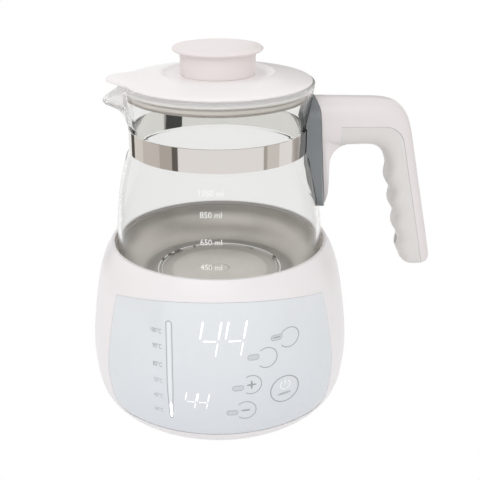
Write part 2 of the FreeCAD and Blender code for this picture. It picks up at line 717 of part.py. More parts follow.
def base_housing():
    """One moulding: shell, rim lip, pocket for the panel, columns, posts and gland pad."""
    outside = housing_solid(0.0)
    inside = housing_solid(HOUSING_WALL)
    lip = cylinder(BELLY_RADIUS, LIP_UNDERSIDE_Z, RIM_Z + BEYOND)
    dish_seat = cylinder(
        COLLAR_RADIUS - HOUSING_TOP_WALL, CARRIER_BOTTOM_Z, LIP_UNDERSIDE_Z
    ).common(housing_solid(HOUSING_TOP_WALL))
    cavity = inside.cut(lip).fuse(dish_seat)
    mouth = cylinder(RIM_INNER_RADIUS, LIP_UNDERSIDE_Z - BEYOND, RIM_Z + BEYOND)
    opening = cylinder(HEEL_RADIUS, 0.0, COVER_TOP_Z + HEEL_OPENING_HEIGHT)
    shell = outside.cut(cavity).cut(mouth).cut(opening)
    keep = housing_solid(HOUSING_WALL - KEEP_IN_WALL)
    added = []
    for angle in CARRIER_ARMS_AT:
        p = around(angle, COLUMN_CIRCLE)
        added.append(cylinder(COLUMN_RADIUS, COLUMN_BOTTOM_Z, COLUMN_TOP_Z, p.x, p.y))
    for angle in POSTS_AT:
        p = around(angle, POST_CIRCLE)
        added.append(cylinder(POST_RADIUS, COVER_TOP_Z, POST_TOP_Z, p.x, p.y))
        rib = block(
            POST_CIRCLE, BELLY_RADIUS, -RIB_THICKNESS / 2, RIB_THICKNESS / 2, RIB_BOTTOM_Z, POST_TOP_Z
        )
        rib.rotate(Vector(0, 0, 0), Vector(0, 0, 1), angle)
        added.append(rib)
    for x, z in display_post_places():
        start = Vector(x, DISPLAY_BOARD_Y, z)
        added.append(rod(DISPLAY_POST_RADIUS, start, start - Vector(0, BELLY_RADIUS, 0)))
    pad_radius = GLAND_COLLAR_RADIUS + GLAND_BACKING
    added.append(
        rod(
            pad_radius,
            Vector(0, GLAND_COLLAR_SEAT_Y - GLAND_BACKING, GLAND_Z),
            Vector(0, BELLY_RADIUS, GLAND_Z),
        )
    )
    for piece in added:
        shell = shell.fuse(piece.common(keep))
    pocket = outside.cut(housing_solid(PANEL_SINK + PANEL_THICKNESS + PANEL_GLUE))
    shell = shell.cut(pocket.common(panel_prism(0.0)))
    for area in (MAIN_DIGITS, SMALL_DIGITS, LEVEL_GUIDE):
        shell = shell.cut(panel_block(area, WINDOW_MARGIN))
    for angle in CARRIER_ARMS_AT:
        p = around(angle, COLUMN_CIRCLE)
        end = CARRIER_BOTTOM_Z + CARRIER_SCREW_LENGTH + BEYOND
        shell = shell.cut(cylinder(SCREW_SHANK, COLUMN_BOTTOM_Z - BEYOND, end, p.x, p.y))
    for angle in POSTS_AT:
        p = around(angle, POST_CIRCLE)
        end = COVER_BOTTOM_Z + SCREW_HEAD_HEIGHT + COVER_SCREW_LENGTH + BEYOND
        shell = shell.cut(cylinder(SCREW_SHANK, COVER_TOP_Z - BEYOND, end, p.x, p.y))
    for x, z in display_post_places():
        start = Vector(x, DISPLAY_BOARD_Y + BOARD_THICKNESS, z)
        depth = DISPLAY_SCREW_LENGTH + SEAT
        shell = shell.cut(rod(SCREW_SHANK, start, start - Vector(0, depth, 0)))
    seat = Vector(0, GLAND_COLLAR_SEAT_Y, GLAND_Z)
    inner = Vector(0, GLAND_INNER_Y - pad_radius, GLAND_Z)
    outer = Vector(0, BELLY_RADIUS + BEYOND, GLAND_Z)
    shell = shell.cut(rod(GLAND_BODY_RADIUS + GLAND_HOLE_CLEARANCE, inner, outer))
    return shell.cut(rod(GLAND_COLLAR_RADIUS + GLAND_HOLE_CLEARANCE, seat, outer))


def front_panel():
    """Thin translucent window that follows the housing and lies a little below its surface."""
    outer = housing_solid(PANEL_SINK)
    inner = housing_solid(PANEL_SINK + PANEL_THICKNESS)
    return outer.cut(inner).common(panel_prism(PANEL_EDGE_GAP))


# Underside

def bottom_cover():
    """Disc with a locating rim, a groove for the foot, vents, standoffs and a cord saddle."""
    cover = cylinder(COVER_RADIUS, COVER_BOTTOM_Z, COVER_TOP_Z)
    rim_outer = COVER_RADIUS - SEAT
    rim = tube(rim_outer, rim_outer - COVER_RIM_WALL, COVER_TOP_Z, COVER_TOP_Z + COVER_RIM_HEIGHT)
    cover = cover.fuse(rim)
    for x, y in power_board_corners():
        cover = cover.fuse(cylinder(STANDOFF_RADIUS, COVER_TOP_Z, POWER_BOARD_Z, x, y))
        cover = cover.cut(
            cylinder(SCREW_SHANK, POWER_BOARD_Z - BOARD_SCREW_LENGTH, POWER_BOARD_Z, x, y)
        )
    saddle = block(
        -CLAMP_LENGTH / 2,
        CLAMP_LENGTH / 2,
        CLAMP_Y - CLAMP_WIDTH / 2,
        CLAMP_Y + CLAMP_WIDTH / 2,
        COVER_TOP_Z,
        CLAMP_BLOCK_HEIGHT + COVER_TOP_Z,
    )
    cover = cover.fuse(saddle).cut(cord_groove())
    for x in (-CLAMP_LENGTH / 3, CLAMP_LENGTH / 3):
        low = CLAMP_BLOCK_HEIGHT + COVER_TOP_Z - CLAMP_SCREW_LENGTH
        cover = cover.cut(cylinder(SCREW_SHANK, low, low + CLAMP_SCREW_LENGTH, x, CLAMP_Y))
    for angle in POSTS_AT:
        p = around(angle, POST_CIRCLE)
        cover = cover.cut(
            cylinder(SCREW_SHANK + SCREW_CLEARANCE, 0.0, COVER_TOP_Z + BEYOND, p.x, p.y)
        )
        head_top = COVER_BOTTOM_Z + SCREW_HEAD_HEIGHT + HEAD_GAP
        cover = cover.cut(cylinder(SCREW_HEAD + SCREW_CLEARANCE, 0.0, head_top, p.x, p.y))
    groove = tube(
        FOOT_OUTER_RADIUS, FOOT_INNER_RADIUS, 0.0, COVER_BOTTOM_Z + FOOT_GROOVE_DEPTH
    )
    cover = cover.cut(groove)
    vent_start, vent_end = VENT_Y - VENT_LENGTH / 2, VENT_Y + VENT_LENGTH / 2
    for i in range(VENT_COUNT):
        x = (i - (VENT_COUNT - 1) / 2) * VENT_PITCH
        half = VENT_WIDTH / 2
        cover = cover.cut(block(x - half, x + half, vent_start, vent_end, 0, POWER_BOARD_Z))
    return cover


def cord_groove():
    """The half-round groove that the cord would lie in under its clamp."""
    z = CLAMP_BLOCK_HEIGHT + COVER_TOP_Z
    return rod(
        CORD_RADIUS,
        Vector(0, CLAMP_Y - CLAMP_WIDTH, z),
        Vector(0, CLAMP_Y + CLAMP_WIDTH, z),
    )


def ring_foot():
    """Rubber ring in the cover's groove: the only piece that touches the table."""
    return tube(
        FOOT_OUTER_RADIUS - SEAT / 2,
        FOOT_INNER_RADIUS + SEAT / 2,
        0.0,
        COVER_BOTTOM_Z + FOOT_GROOVE_DEPTH - SEAT / 2,
    )


def cover_screws():
    z = COVER_BOTTOM_Z + SCREW_HEAD_HEIGHT
    return [screw(around(a, POST_CIRCLE, z), Vector(0, 0, 1), COVER_SCREW_LENGTH) for a in POSTS_AT]


# Dish and heater

def heating_dish():
    """Pressed stainless dish: flat floor with a hole for the probe, round wall, rolled flange."""
    centre = profile_point(DISH_FLOOR_RADIUS, FLOOR_Z + DISH_CORNER)
    up = Vector(0, 0, 1)
    inner = arc_about(centre, DISH_CORNER, -90, 0, up)
    outer = arc_about(centre, DISH_CORNER + DISH_SHEET, -90, 0, up)
    wall_radius = DISH_RADIUS + DISH_SHEET
    flange_low = FLANGE_TOP_Z - DISH_SHEET
    edges = [
        *polyline([
            (PROBE_HOLE_RADIUS, DISH_UNDERSIDE_Z),
            (PROBE_HOLE_RADIUS, FLOOR_Z),
            (DISH_FLOOR_RADIUS, FLOOR_Z),
        ]),
        inner,
        *polyline([
            (DISH_RADIUS, FLOOR_Z + DISH_CORNER),
            (DISH_RADIUS, FLANGE_TOP_Z),
            (DISH_RADIUS + DISH_FLANGE, FLANGE_TOP_Z),
            (DISH_RADIUS + DISH_FLANGE, flange_low),
            (wall_radius, flange_low),
            (wall_radius, FLOOR_Z + DISH_CORNER),
        ]),
        outer,
        *polyline([
            (DISH_FLOOR_RADIUS, DISH_UNDERSIDE_Z),
            (PROBE_HOLE_RADIUS, DISH_UNDERSIDE_Z),
        ]),
    ]
    return turned(edges)


def dish_seal():
    """Silicone ring squeezed between the dish's flange and the housing's lip."""
    return tube(
        DISH_RADIUS + DISH_FLANGE,
        RIM_INNER_RADIUS + SEAT,
        FLANGE_TOP_Z,
        LIP_UNDERSIDE_Z,
    )


def heat_spreader():
    """Aluminium disc brazed under the dish."""
    disc = cylinder(SPREADER_RADIUS, SPREADER_BOTTOM_Z, DISH_UNDERSIDE_Z)
    return disc.cut(cylinder(PROBE_HOLE_RADIUS, SPREADER_BOTTOM_Z, DISH_UNDERSIDE_Z))


def heating_element():
    """Tubular heater bent to an open ring, its two ends turned down to the terminals."""
    z = SPREADER_BOTTOM_Z - ELEMENT_TUBE_RADIUS
    ring = Part.makeTorus(
        ELEMENT_RING_RADIUS,
        ELEMENT_TUBE_RADIUS,
        Vector(0, 0, z),
        Vector(0, 0, 1),
        -180,
        180,
        ELEMENT_SWEEP,
    )
    opening = 360.0 - ELEMENT_SWEEP
    ring.rotate(Vector(0, 0, 0), Vector(0, 0, 1), 90.0 + opening / 2)
    element = ring
    for angle in (90.0 + opening / 2, 90.0 - opening / 2):
        end = around(angle, ELEMENT_RING_RADIUS, z)
        leg = rod(ELEMENT_TUBE_RADIUS, end, end - Vector(0, 0, ELEMENT_TUBE_RADIUS * 2))
        pin = rod(TERMINAL_RADIUS, end, end - Vector(0, 0, ELEMENT_TUBE_RADIUS * 2 + TERMINAL_LENGTH))
        knuckle = Part.makeSphere(ELEMENT_TUBE_RADIUS, end)
        element = element.fuse(knuckle).fuse(leg).fuse(pin)
    return element.removeSplitter()


def dish_carrier():
    """Pressed steel ring with three arms that holds the dish up against the lip."""
    low, high = CARRIER_BOTTOM_Z, CARRIER_BOTTOM_Z + CARRIER_SHEET
    carrier = tube(CARRIER_OUTER_RADIUS, CARRIER_INNER_RADIUS, low, high)
    reach = COLUMN_CIRCLE + SCREW_HEAD
    for angle in CARRIER_ARMS_AT:
        arm = block(
            (CARRIER_INNER_RADIUS + CARRIER_OUTER_RADIUS) / 2,
            reach,
            -CARRIER_ARM_WIDTH / 2,
            CARRIER_ARM_WIDTH / 2,
            low,
            high,
        )
        arm.rotate(Vector(0, 0, 0), Vector(0, 0, 1), angle)
        carrier = carrier.fuse(arm)
    carrier = carrier.common(housing_solid(HOUSING_WALL + SEAT))
    for angle in CARRIER_ARMS_AT:
        p = around(angle, COLUMN_CIRCLE)
        carrier = carrier.cut(cylinder(SCREW_SHANK + SCREW_CLEARANCE, low, high, p.x, p.y))
    return carrier.removeSplitter()


def carrier_screws():
    z = CARRIER_BOTTOM_Z
    return [
        screw(around(a, COLUMN_CIRCLE, z), Vector(0, 0, 1), CARRIER_SCREW_LENGTH)
        for a in CARRIER_ARMS_AT
    ]


def thermal_cutout():
    """Button thermostat under the spreader, with two blade terminals."""
    top = SPREADER_BOTTOM_Z
    body = cylinder(CUTOUT_RADIUS, top - CUTOUT_HEIGHT, top, CUTOUT_OFFSET, 0.0)
    for y in (-CUTOUT_RADIUS / 2, CUTOUT_RADIUS / 2):
        low = top - CUTOUT_HEIGHT
        blade = block(
            CUTOUT_OFFSET - BLADE_HALF_WIDTH,
            CUTOUT_OFFSET + BLADE_HALF_WIDTH,
            y - BLADE_HALF_THICKNESS,
            y + BLADE_HALF_THICKNESS,
            low - BLADE_LENGTH,
            low,
        )
        body = body.fuse(blade)
    return body


# Temperature probe

def temperature_probe():
    """Stainless cap that a spring pushes up, with a collar that stops it under the spreader."""
    collar_low = PROBE_COLLAR_TOP_Z - PROBE_COLLAR_THICKNESS
    return lathe([
        (0.0, PROBE_TOP_Z),
        (PROBE_RADIUS, PROBE_TOP_Z),
        (PROBE_RADIUS, PROBE_COLLAR_TOP_Z),
        (PROBE_COLLAR_RADIUS, PROBE_COLLAR_TOP_Z),
        (PROBE_COLLAR_RADIUS, collar_low),
        (SPRING_COIL_RADIUS - SPRING_WIRE_RADIUS - SEAT, collar_low),
        (SPRING_COIL_RADIUS - SPRING_WIRE_RADIUS - SEAT, PROBE_BOTTOM_Z),
        (0.0, PROBE_BOTTOM_Z),
    ])


def probe_spring():
    """Compression spring between the holder's floor and the probe's collar."""
    inset = SPRING_WIRE_RADIUS + SPRING_END_GAP
    low = HOLDER_BOTTOM_Z + HOLDER_WALL + inset
    high = PROBE_COLLAR_TOP_Z - PROBE_COLLAR_THICKNESS - inset
    count = SPRING_TURNS * SPRING_GUIDES
    coil = SPRING_COIL_RADIUS * guide_swell(SPRING_GUIDES)
    wire = SPRING_WIRE_RADIUS * guide_swell(WIRE_GUIDES)
    rings = []
    for i in range(count + 1):
        angle = 360.0 * i / SPRING_GUIDES
        out = around(angle, 1.0)
        centre = out * coil + Vector(0, 0, low + (high - low) * i / count)
        turns = [2 * math.pi * j / WIRE_GUIDES for j in range(WIRE_GUIDES)]
        rings.append(
            [centre + out * wire * math.cos(t) + Vector(0, 0, wire * math.sin(t)) for t in turns]
        )
    return net_solid(rings)


def probe_holder():
    """Cup under the spreader that carries the spring."""
    inner, low = HOLDER_INNER_RADIUS, HOLDER_BOTTOM_Z
    return lathe([
        (0.0, low),
        (inner + HOLDER_WALL, low),
        (inner + HOLDER_WALL, SPREADER_BOTTOM_Z),
        (inner, SPREADER_BOTTOM_Z),
        (inner, low + HOLDER_WALL),
        (0.0, low + HOLDER_WALL),
    ])


# Display electronics

def display_board():
    board = block(
        -DISPLAY_BOARD_HALF_WIDTH,
        DISPLAY_BOARD_HALF_WIDTH,
        DISPLAY_BOARD_Y,
        DISPLAY_BOARD_Y + BOARD_THICKNESS,
        DISPLAY_BOARD_LOW_Z,
        DISPLAY_BOARD_HIGH_Z,
    )
    for x, z in display_post_places():
        start = Vector(x, DISPLAY_BOARD_Y - BEYOND, z)
        end = Vector(x, DISPLAY_BOARD_Y + BOARD_THICKNESS + BEYOND, z)
        board = board.cut(rod(SCREW_SHANK + SCREW_CLEARANCE, start, end))
    return board


def light_box(area):
    """A light box over an area, from the board to the back of the panel."""
    inside = housing_solid(PANEL_SINK + PANEL_THICKNESS + LIGHT_BOX_GAP)
    return panel_block(area, 0.0).common(inside)


def touch_pads():
    """Conductive foam plugs between the board and the wall behind each key."""
    inside = housing_solid(HOUSING_WALL + SEAT / 2)
    pads = []
    for share, z in KEYS:
        x = share * BELLY_RADIUS
        pad = rod(TOUCH_PAD_RADIUS, Vector(x, DISPLAY_BOARD_Y, z), Vector(x, -BELLY_RADIUS, z))
        pads.append(pad.common(inside).Solids[0])
    return pads


def display_board_screws():
    y = DISPLAY_BOARD_Y + BOARD_THICKNESS
    return [
        screw(Vector(x, y, z), Vector(0, -1, 0), DISPLAY_SCREW_LENGTH)
        for x, z in display_post_places()
    ]


# Power electronics

def power_board_corners():
    for sx in (-1, 1):
        for sy in (-1, 1):
            x = sx * (POWER_BOARD_X / 2 - POWER_BOARD_INSET)
            y = sy * (POWER_BOARD_Y / 2 - POWER_BOARD_INSET)
            yield x, y


def power_board():
    board = block(
        -POWER_BOARD_X / 2,
        POWER_BOARD_X / 2,
        -POWER_BOARD_Y / 2,
        POWER_BOARD_Y / 2,
        POWER_BOARD_Z,
        POWER_BOARD_Z + BOARD_THICKNESS,
    )
    for x, y in power_board_corners():
        board = board.cut(
            cylinder(SCREW_SHANK + SCREW_CLEARANCE, POWER_BOARD_Z, POWER_BOARD_Z + BOARD_THICKNESS, x, y)
        )
    return board


def power_board_place(shares):
    """The point on the power board at shares of its length and width from its middle."""
    return Vector(shares[0] * POWER_BOARD_X, shares[1] * POWER_BOARD_Y, POWER_BOARD_Z + BOARD_THICKNESS)


def on_power_board(size, shares):
    """A component of a size that stands on the power board."""
    x, y, low = power_board_place(shares)
    dx, dy, dz = size
    return block(x - dx / 2, x + dx / 2, y - dy / 2, y + dy / 2, low, low + dz)


def transformer():
    """Laminated core with its bobbin showing at both sides."""
    dx, dy, dz = TRANSFORMER_SIZE
    bobbin = (dx * BOBBIN_WIDTH_SHARE, dy + 2 * BOBBIN_PROUD, dz * BOBBIN_HEIGHT_SHARE)
    core = on_power_board(TRANSFORMER_SIZE, TRANSFORMER_AT)
    return core.fuse(on_power_board(bobbin, TRANSFORMER_AT)).removeSplitter()


def relay():
    return on_power_board(RELAY_SIZE, RELAY_AT)


def terminal_block():
    """Screw terminal block for the cord, with two wire entries."""
    length, width, _ = TERMINAL_BLOCK_SIZE
    body = on_power_board(TERMINAL_BLOCK_SIZE, TERMINAL_BLOCK_AT)
    for side in (-1, 1):
        start = power_board_place(TERMINAL_BLOCK_AT) + Vector(side * length / 4, 0, WIRE_ENTRY_HEIGHT)
        body = body.cut(rod(WIRE_ENTRY_RADIUS, start, start + Vector(0, width, 0)))
    return body


def buzzer():
    x, y, low = power_board_place(BUZZER_AT)
    top = low + BUZZER_HEIGHT
    body = cylinder(BUZZER_RADIUS, low, top, x, y)
    return body.cut(cylinder(BUZZER_HOLE_RADIUS, top - BUZZER_HOLE_DEPTH, top, x, y))


def power_board_screws():
    z = POWER_BOARD_Z + BOARD_THICKNESS
    return [
        screw(Vector(x, y, z), Vector(0, 0, -1), BOARD_SCREW_LENGTH)
        for x, y in power_board_corners()
    ]


# Cord entry

def cord_gland():
    """Bush through the rear wall; its tapered boot outside grips the cord, inside it is wider."""
    inner = Vector(0, GLAND_INNER_Y, GLAND_Z)
    seat = Vector(0, GLAND_COLLAR_SEAT_Y, GLAND_Z)
    face = seat + Vector(0, GLAND_COLLAR_THICKNESS, 0)
    end = Vector(0, BOOT_END_Y, GLAND_Z)
    boot = Part.makeCone(GLAND_BODY_RADIUS, BOOT_END_RADIUS, BOOT_END_Y - face.y, face, Vector(0, 1, 0))
    body = rod(GLAND_BODY_RADIUS, inner, face).fuse(rod(GLAND_COLLAR_RADIUS, seat, face)).fuse(boot)
    grip = end - Vector(0, GLAND_GRIP_LENGTH, 0)
    relief = rod(GLAND_BORE_RADIUS + GLAND_RELIEF, inner, grip)
    return body.cut(rod(GLAND_BORE_RADIUS, inner, end)).cut(relief).removeSplitter()


def cord_clamp():
    """Bar that holds the cord down on the cover's saddle."""
    low = CLAMP_BLOCK_HEIGHT + COVER_TOP_Z
    bar = block(
        -CLAMP_LENGTH / 2,
        CLAMP_LENGTH / 2,
        CLAMP_Y - CLAMP_WIDTH / 2,
        CLAMP_Y + CLAMP_WIDTH / 2,
        low,
        low + CLAMP_HEIGHT,
    )
    bar = bar.cut(cord_groove())
    for x in (-CLAMP_LENGTH / 3, CLAMP_LENGTH / 3):
        bar = bar.cut(cylinder(SCREW_SHANK + SCREW_CLEARANCE, low, low + CLAMP_HEIGHT, x, CLAMP_Y))
    return bar


def cord_clamp_screws():
    z = CLAMP_BLOCK_HEIGHT + COVER_TOP_Z + CLAMP_HEIGHT
    length = CLAMP_HEIGHT + CLAMP_SCREW_LENGTH - BEYOND
    return [
        screw(Vector(x, CLAMP_Y, z), Vector(0, 0, -1), length)
        for x in (-CLAMP_LENGTH / 3, CLAMP_LENGTH / 3)
    ]


# Glass jug

def jug_side_curve():
    """The outside of the jug from its side to its neck."""
    points = [
        profile_point(JUG_RADIUS, JUG_SIDE_TOP_Z),
        profile_point(JUG_UPPER_SIDE_RADIUS, JUG_UPPER_SIDE_Z),
        profile_point(JUG_SLOPE_RADIUS, JUG_SLOPE_Z),
        profile_point(JUG_SHOULDER_RADIUS, JUG_SHOULDER_Z),
        profile_point(NECK_SHOULDER_RADIUS, NECK_SHOULDER_Z),
        profile_point(NECK_RADIUS, NECK_LOW_Z),
    ]
    return spline(points, Vector(0, 0, 1), Vector(-1.1, 0, 1))


def jug_body(wall, floor):
    """The jug up to its neck as if it were solid, its surface moved in by wall and up by floor."""
    corner = JUG_CORNER - wall
    centre = profile_point(JUG_RADIUS - JUG_CORNER, JUG_BOTTOM_Z + JUG_CORNER)
    shift = floor - wall
    bottom_z = JUG_BOTTOM_Z + floor
    points = inset_points(jug_side_curve(), wall, 10)
    corner_centre = centre + Vector(0, 0, shift)
    corner_end = profile_point(centre.x + corner, corner_centre.z)
    neck_radius = NECK_RADIUS - wall
    blend_end = profile_point(neck_radius, NECK_LOW_Z + NECK_BLEND)
    neck_top = profile_point(neck_radius, SPOUT_LOW_Z)
    edges = [
        line(Vector(0, 0, bottom_z), profile_point(centre.x, bottom_z)),
        arc_about(corner_centre, corner, -90, 0, Vector(0, 0, 1)),
        line(corner_end, points[0]),
        spline(points).toShape(),
        line(points[-1], blend_end),
        line(blend_end, neck_top),
        line(neck_top, Vector(0, 0, SPOUT_LOW_Z)),
        line(Vector(0, 0, SPOUT_LOW_Z), Vector(0, 0, bottom_z)),
    ]
    return turned(edges)


def mouth_radius(z):
    """The radius of the flared mouth at a height, away from the spout."""
    part = min(max((z - SPOUT_LOW_Z) / (MOUTH_Z - SPOUT_LOW_Z), 0.0), 1.0)
    return NECK_RADIUS + MOUTH_STEP + (MOUTH_RADIUS - NECK_RADIUS) * part


def spout_bulge(z):
    """How far the spout stands out at a height: little at first, then quickly, then no more."""
    part = min(max((z - SPOUT_LOW_Z) / (SPOUT_FULL_Z - SPOUT_LOW_Z), 0.0), 1.0)
    return SPOUT_REACH * (0.22 * part ** 0.6 + 0.78 * part ** 5)


def mouth_ring(z, wall, rise):
    """The guide points of the mouth at a height, with the spout's bulge on the -X side."""
    points = []
    for i in range(MOUTH_GUIDES):
        angle = 360.0 * i / MOUTH_GUIDES
        off = abs(angle - 180.0) / SPOUT_HALF_ANGLE
        share = math.cos(math.pi / 2 * off) ** 1.5 if off < 1 else 0.0
        radius = mouth_radius(z) - wall + spout_bulge(z - rise) * share
        points.append(around(angle, radius * guide_swell(MOUTH_GUIDES), z))
    return points


def mouth_body(wall, rise, top):
    """The mouth as if it were solid."""
    step = (SPOUT_FULL_Z - SPOUT_LOW_Z) / 7
    heights = [SPOUT_LOW_Z + step * i for i in range(8)]
    heights += [SPOUT_FULL_Z + (top - SPOUT_FULL_Z) * i / 4 for i in (1, 2, 3, 4)]
    return net_solid([mouth_ring(z, wall, rise) for z in heights])


def glass_jug():
    """Blown glass jug: round body, neck, flared mouth and drooping spout."""
    body = jug_body(0.0, 0.0).cut(jug_body(JUG_WALL, JUG_FLOOR))
    top = MOUTH_Z + MOUTH_FLARE
    mouth = mouth_body(0.0, 0.0, top).cut(mouth_body(JUG_WALL, SPOUT_FLOOR, top))
    jug = body.fuse(mouth)
    jug = jug.cut(cylinder(2 * JUG_RADIUS, MOUTH_Z, top + BEYOND))
    slope = block(-JUG_RADIUS, 0, -JUG_RADIUS, JUG_RADIUS, 0, JUG_RADIUS)
    slope.rotate(Vector(0, 0, 0), Vector(0, 1, 0), -(90.0 - SPOUT_RIM_TILT))
    slope.translate(Vector(SPOUT_RIM_X, 0, SPOUT_RIM_Z))
    return jug.cut(slope)


# Neck band

def neck_band():
    """Steel strap round the neck, its two ends turned outwards inside the mount."""
    ring = tube(BAND_OUTER_RADIUS, BAND_INNER_RADIUS, BAND_LOW_Z, BAND_HIGH_Z)
    half = BAND_TAB_SPACING / 2
    ring = ring.cut(block(0, 2 * BAND_OUTER_RADIUS, -half, half, BAND_LOW_Z, BAND_HIGH_Z))
    tab_start = BAND_INNER_RADIUS - BAND_TAB_ROOT
    for side in (-1, 1):
        y0 = side * half
        y1 = side * (half + BAND_SHEET)
        tab = block(
            tab_start,
            BAND_OUTER_RADIUS + BAND_TAB_REACH,
            min(y0, y1),
            max(y0, y1),
            BAND_LOW_Z,
            BAND_HIGH_Z,
        )
        ring = ring.fuse(tab)
    return ring.removeSplitter()


def band_nut():
    """Nut block spot welded between the band's ends; the clamp screw pulls it outwards."""
    half = BAND_TAB_SPACING / 2 - NUT_SIDE_GAP
    end = BAND_OUTER_RADIUS + BAND_TAB_REACH
    start = end - NUT_LENGTH
    low, high = BAND_MIDDLE_Z - NUT_HALF_HEIGHT, BAND_MIDDLE_Z + NUT_HALF_HEIGHT
    hole_start = Vector(start - BEYOND, 0, BAND_MIDDLE_Z)
    hole_end = Vector(end + BEYOND, 0, BAND_MIDDLE_Z)
    hole = rod(CLAMP_BOLT_RADIUS + NUT_BORE_CLEARANCE, hole_start, hole_end)
    return block(start, end, -half, half, low, high).cut(hole)


def clamp_head_x():
    """Where the head of the clamp screw bears on the handle's front wall."""
    return mount_face_x(BAND_MIDDLE_Z) + SEAT + HANDLE_WALL


def clamp_screw():
    """Screw from inside the handle into the nut block: it tightens the band and the handle."""
    head = Vector(clamp_head_x(), 0, BAND_MIDDLE_Z)
    start = head - Vector(CLAMP_BOLT_LENGTH, 0, 0)
    shank = rod(CLAMP_BOLT_RADIUS, start, head)
    return shank.fuse(rod(CLAMP_BOLT_HEAD, head, head + Vector(CLAMP_BOLT_HEAD_HEIGHT, 0, 0)))


# Handle mount

def mount_face_x(z):
    """Where the mount's outer face stands at a height: it leans out downwards and rounds at its top."""
    share = (MOUNT_TOP_Z - z) / (MOUNT_TOP_Z - MOUNT_TIP_Z)
    rounding = max(1 - (MOUNT_TOP_Z - z) / MOUNT_ROUND_DROP, 0.0) ** 2
    leaning = MOUNT_FACE_TOP_X + (MOUNT_FACE_LOW_X - MOUNT_FACE_TOP_X) * share
    return leaning - MOUNT_ROUND_DEPTH * rounding


def leaf_outline():
    """Half of the mount's leaf outline seen along X, as half widths and heights."""
    return [
        (0.0, MOUNT_TOP_Z),
        (MOUNT_CROWN_HALF, MOUNT_TOP_Z - MOUNT_CROWN_DROP),
        (MOUNT_TOP_HALF, MOUNT_TOP_Z - MOUNT_TOP_CORNER_DROP),
        (MOUNT_BAND_HALF, MOUNT_TOP_Z - MOUNT_BAND_DROP),
        (MOUNT_BAND_HALF, MOUNT_TOP_Z - MOUNT_BAND_DROP - MOUNT_BAND_HEIGHT),
        (MOUNT_WIDE_HALF, MOUNT_TOP_Z - MOUNT_WIDE_DROP),
        (MOUNT_LOW_HALF, MOUNT_TOP_Z - MOUNT_LOW_DROP),
        (MOUNT_TIP_HALF, MOUNT_TIP_Z + MOUNT_TIP_RISE),
        (0.0, MOUNT_TIP_Z),
    ]


def leaf_prism():
    """The leaf outline as a block along X."""
    half = leaf_outline()
    right = [Vector(0, w, z) for w, z in half]
    left = [Vector(0, -w, z) for w, z in reversed(half)]
    up = spline(right, Vector(0, 1, 0), Vector(0, -1, 0)).toShape()
    down = spline(left, Vector(0, -1, 0), Vector(0, 1, 0)).toShape()
    face = Part.Face(Part.Wire([up, down]))
    return face.extrude(Vector(HANDLE_BACK_TOP_X, 0, 0))


def mount_barrel(grow):
    """A leaning cone whose outermost line is the mount's face, its surface moved out by grow."""
    low, high = MOUNT_TIP_Z - MOUNT_BARREL_OVERRUN, MOUNT_TOP_Z - MOUNT_ROUND_DROP

    def ring(z):
        share = (z - low) / (high - low)
        radius = MOUNT_BARREL_LOW_RADIUS + (MOUNT_BARREL_TOP_RADIUS - MOUNT_BARREL_LOW_RADIUS) * share
        centre = Vector(mount_face_x(z) - radius, 0, z)
        return Part.Wire([Part.makeCircle(radius + grow, centre, Vector(0, 0, 1))])

    heights = [low] + [high + MOUNT_ROUND_DROP * i / 4 for i in range(6)]
    return Part.makeLoft([ring(z) for z in heights], True, True)


def jug_keepout(gap):
    """The space of the jug and its band, grown by gap, that pieces outside it stay clear of."""
    neck = cylinder(BAND_OUTER_RADIUS + gap, BAND_LOW_Z - BEYOND, BAND_HIGH_Z + BEYOND)
    mouth = Part.makeCone(
        NECK_RADIUS + gap, MOUTH_RADIUS + gap, MOUTH_Z - SPOUT_LOW_Z, Vector(0, 0, SPOUT_LOW_Z)
    )
    return jug_body(-gap, -gap).fuse(neck).fuse(mouth)


def band_pocket():
    """The hole through the mount for the band's ends and the nut."""
    return block(
        NECK_RADIUS,
        MOUNT_FACE_LOW_X + POCKET_MARGIN,
        -POCKET_HALF_WIDTH,
        POCKET_HALF_WIDTH,
        BAND_LOW_Z - POCKET_MARGIN,
        BAND_HIGH_Z + POCKET_MARGIN,
    )


def mount_screw(z):
    """One screw from the glass side of the mount into the handle."""
    start = Vector(mount_face_x(z) - MOUNT_SCREW_SINK, 0, z)
    return screw(start, Vector(1, 0, 0), MOUNT_SCREW_LENGTH)


def handle_mount():
    """Grey saddle between the glass and the handle, screwed to the handle from the glass side."""
    mount = mount_barrel(0.0).common(leaf_prism()).cut(jug_keepout(ASSEMBLY_GAP))
    mount = mount.cut(band_pocket())
    for z in (MOUNT_SCREW_LOW_Z, MOUNT_SCREW_HIGH_Z):
        inner = Vector(NECK_RADIUS / 2, 0, z)
        face = Vector(mount_face_x(z), 0, z)
        shank = rod(SCREW_SHANK + SCREW_CLEARANCE, inner, face + Vector(BEYOND, 0, 0))
        head = rod(SCREW_HEAD + SCREW_CLEARANCE, inner, face - Vector(MOUNT_SCREW_SINK, 0, 0))
        mount = mount.cut(shank).cut(head)
    return max(mount.Solids, key=lambda s: s.Volume)


# Handle

def grip_inner_x(z):
    """The finger side of the grip at a height: a leaning line with four shallow waves."""
    share = (GRIP_TOP_Z - z) / (GRIP_TOP_Z - GRIP_LOW_Z)
    leaning = GRIP_TOP_X + (GRIP_LOW_X - GRIP_TOP_X) * share
    phase = 2 * math.pi * (WAVE_FIRST_Z - z) / WAVE_PITCH
    return leaning - WAVE_DEPTH * guide_swell(4) * math.cos(phase)


def grip_outer_x(z):
    """The back of the grip at a height."""
    share = (HANDLE_BACK_TOP_Z - z) / (HANDLE_BACK_TOP_Z - HANDLE_BACK_LOW_Z)
    return HANDLE_BACK_TOP_X + (HANDLE_BACK_LOW_X - HANDLE_BACK_TOP_X) * share


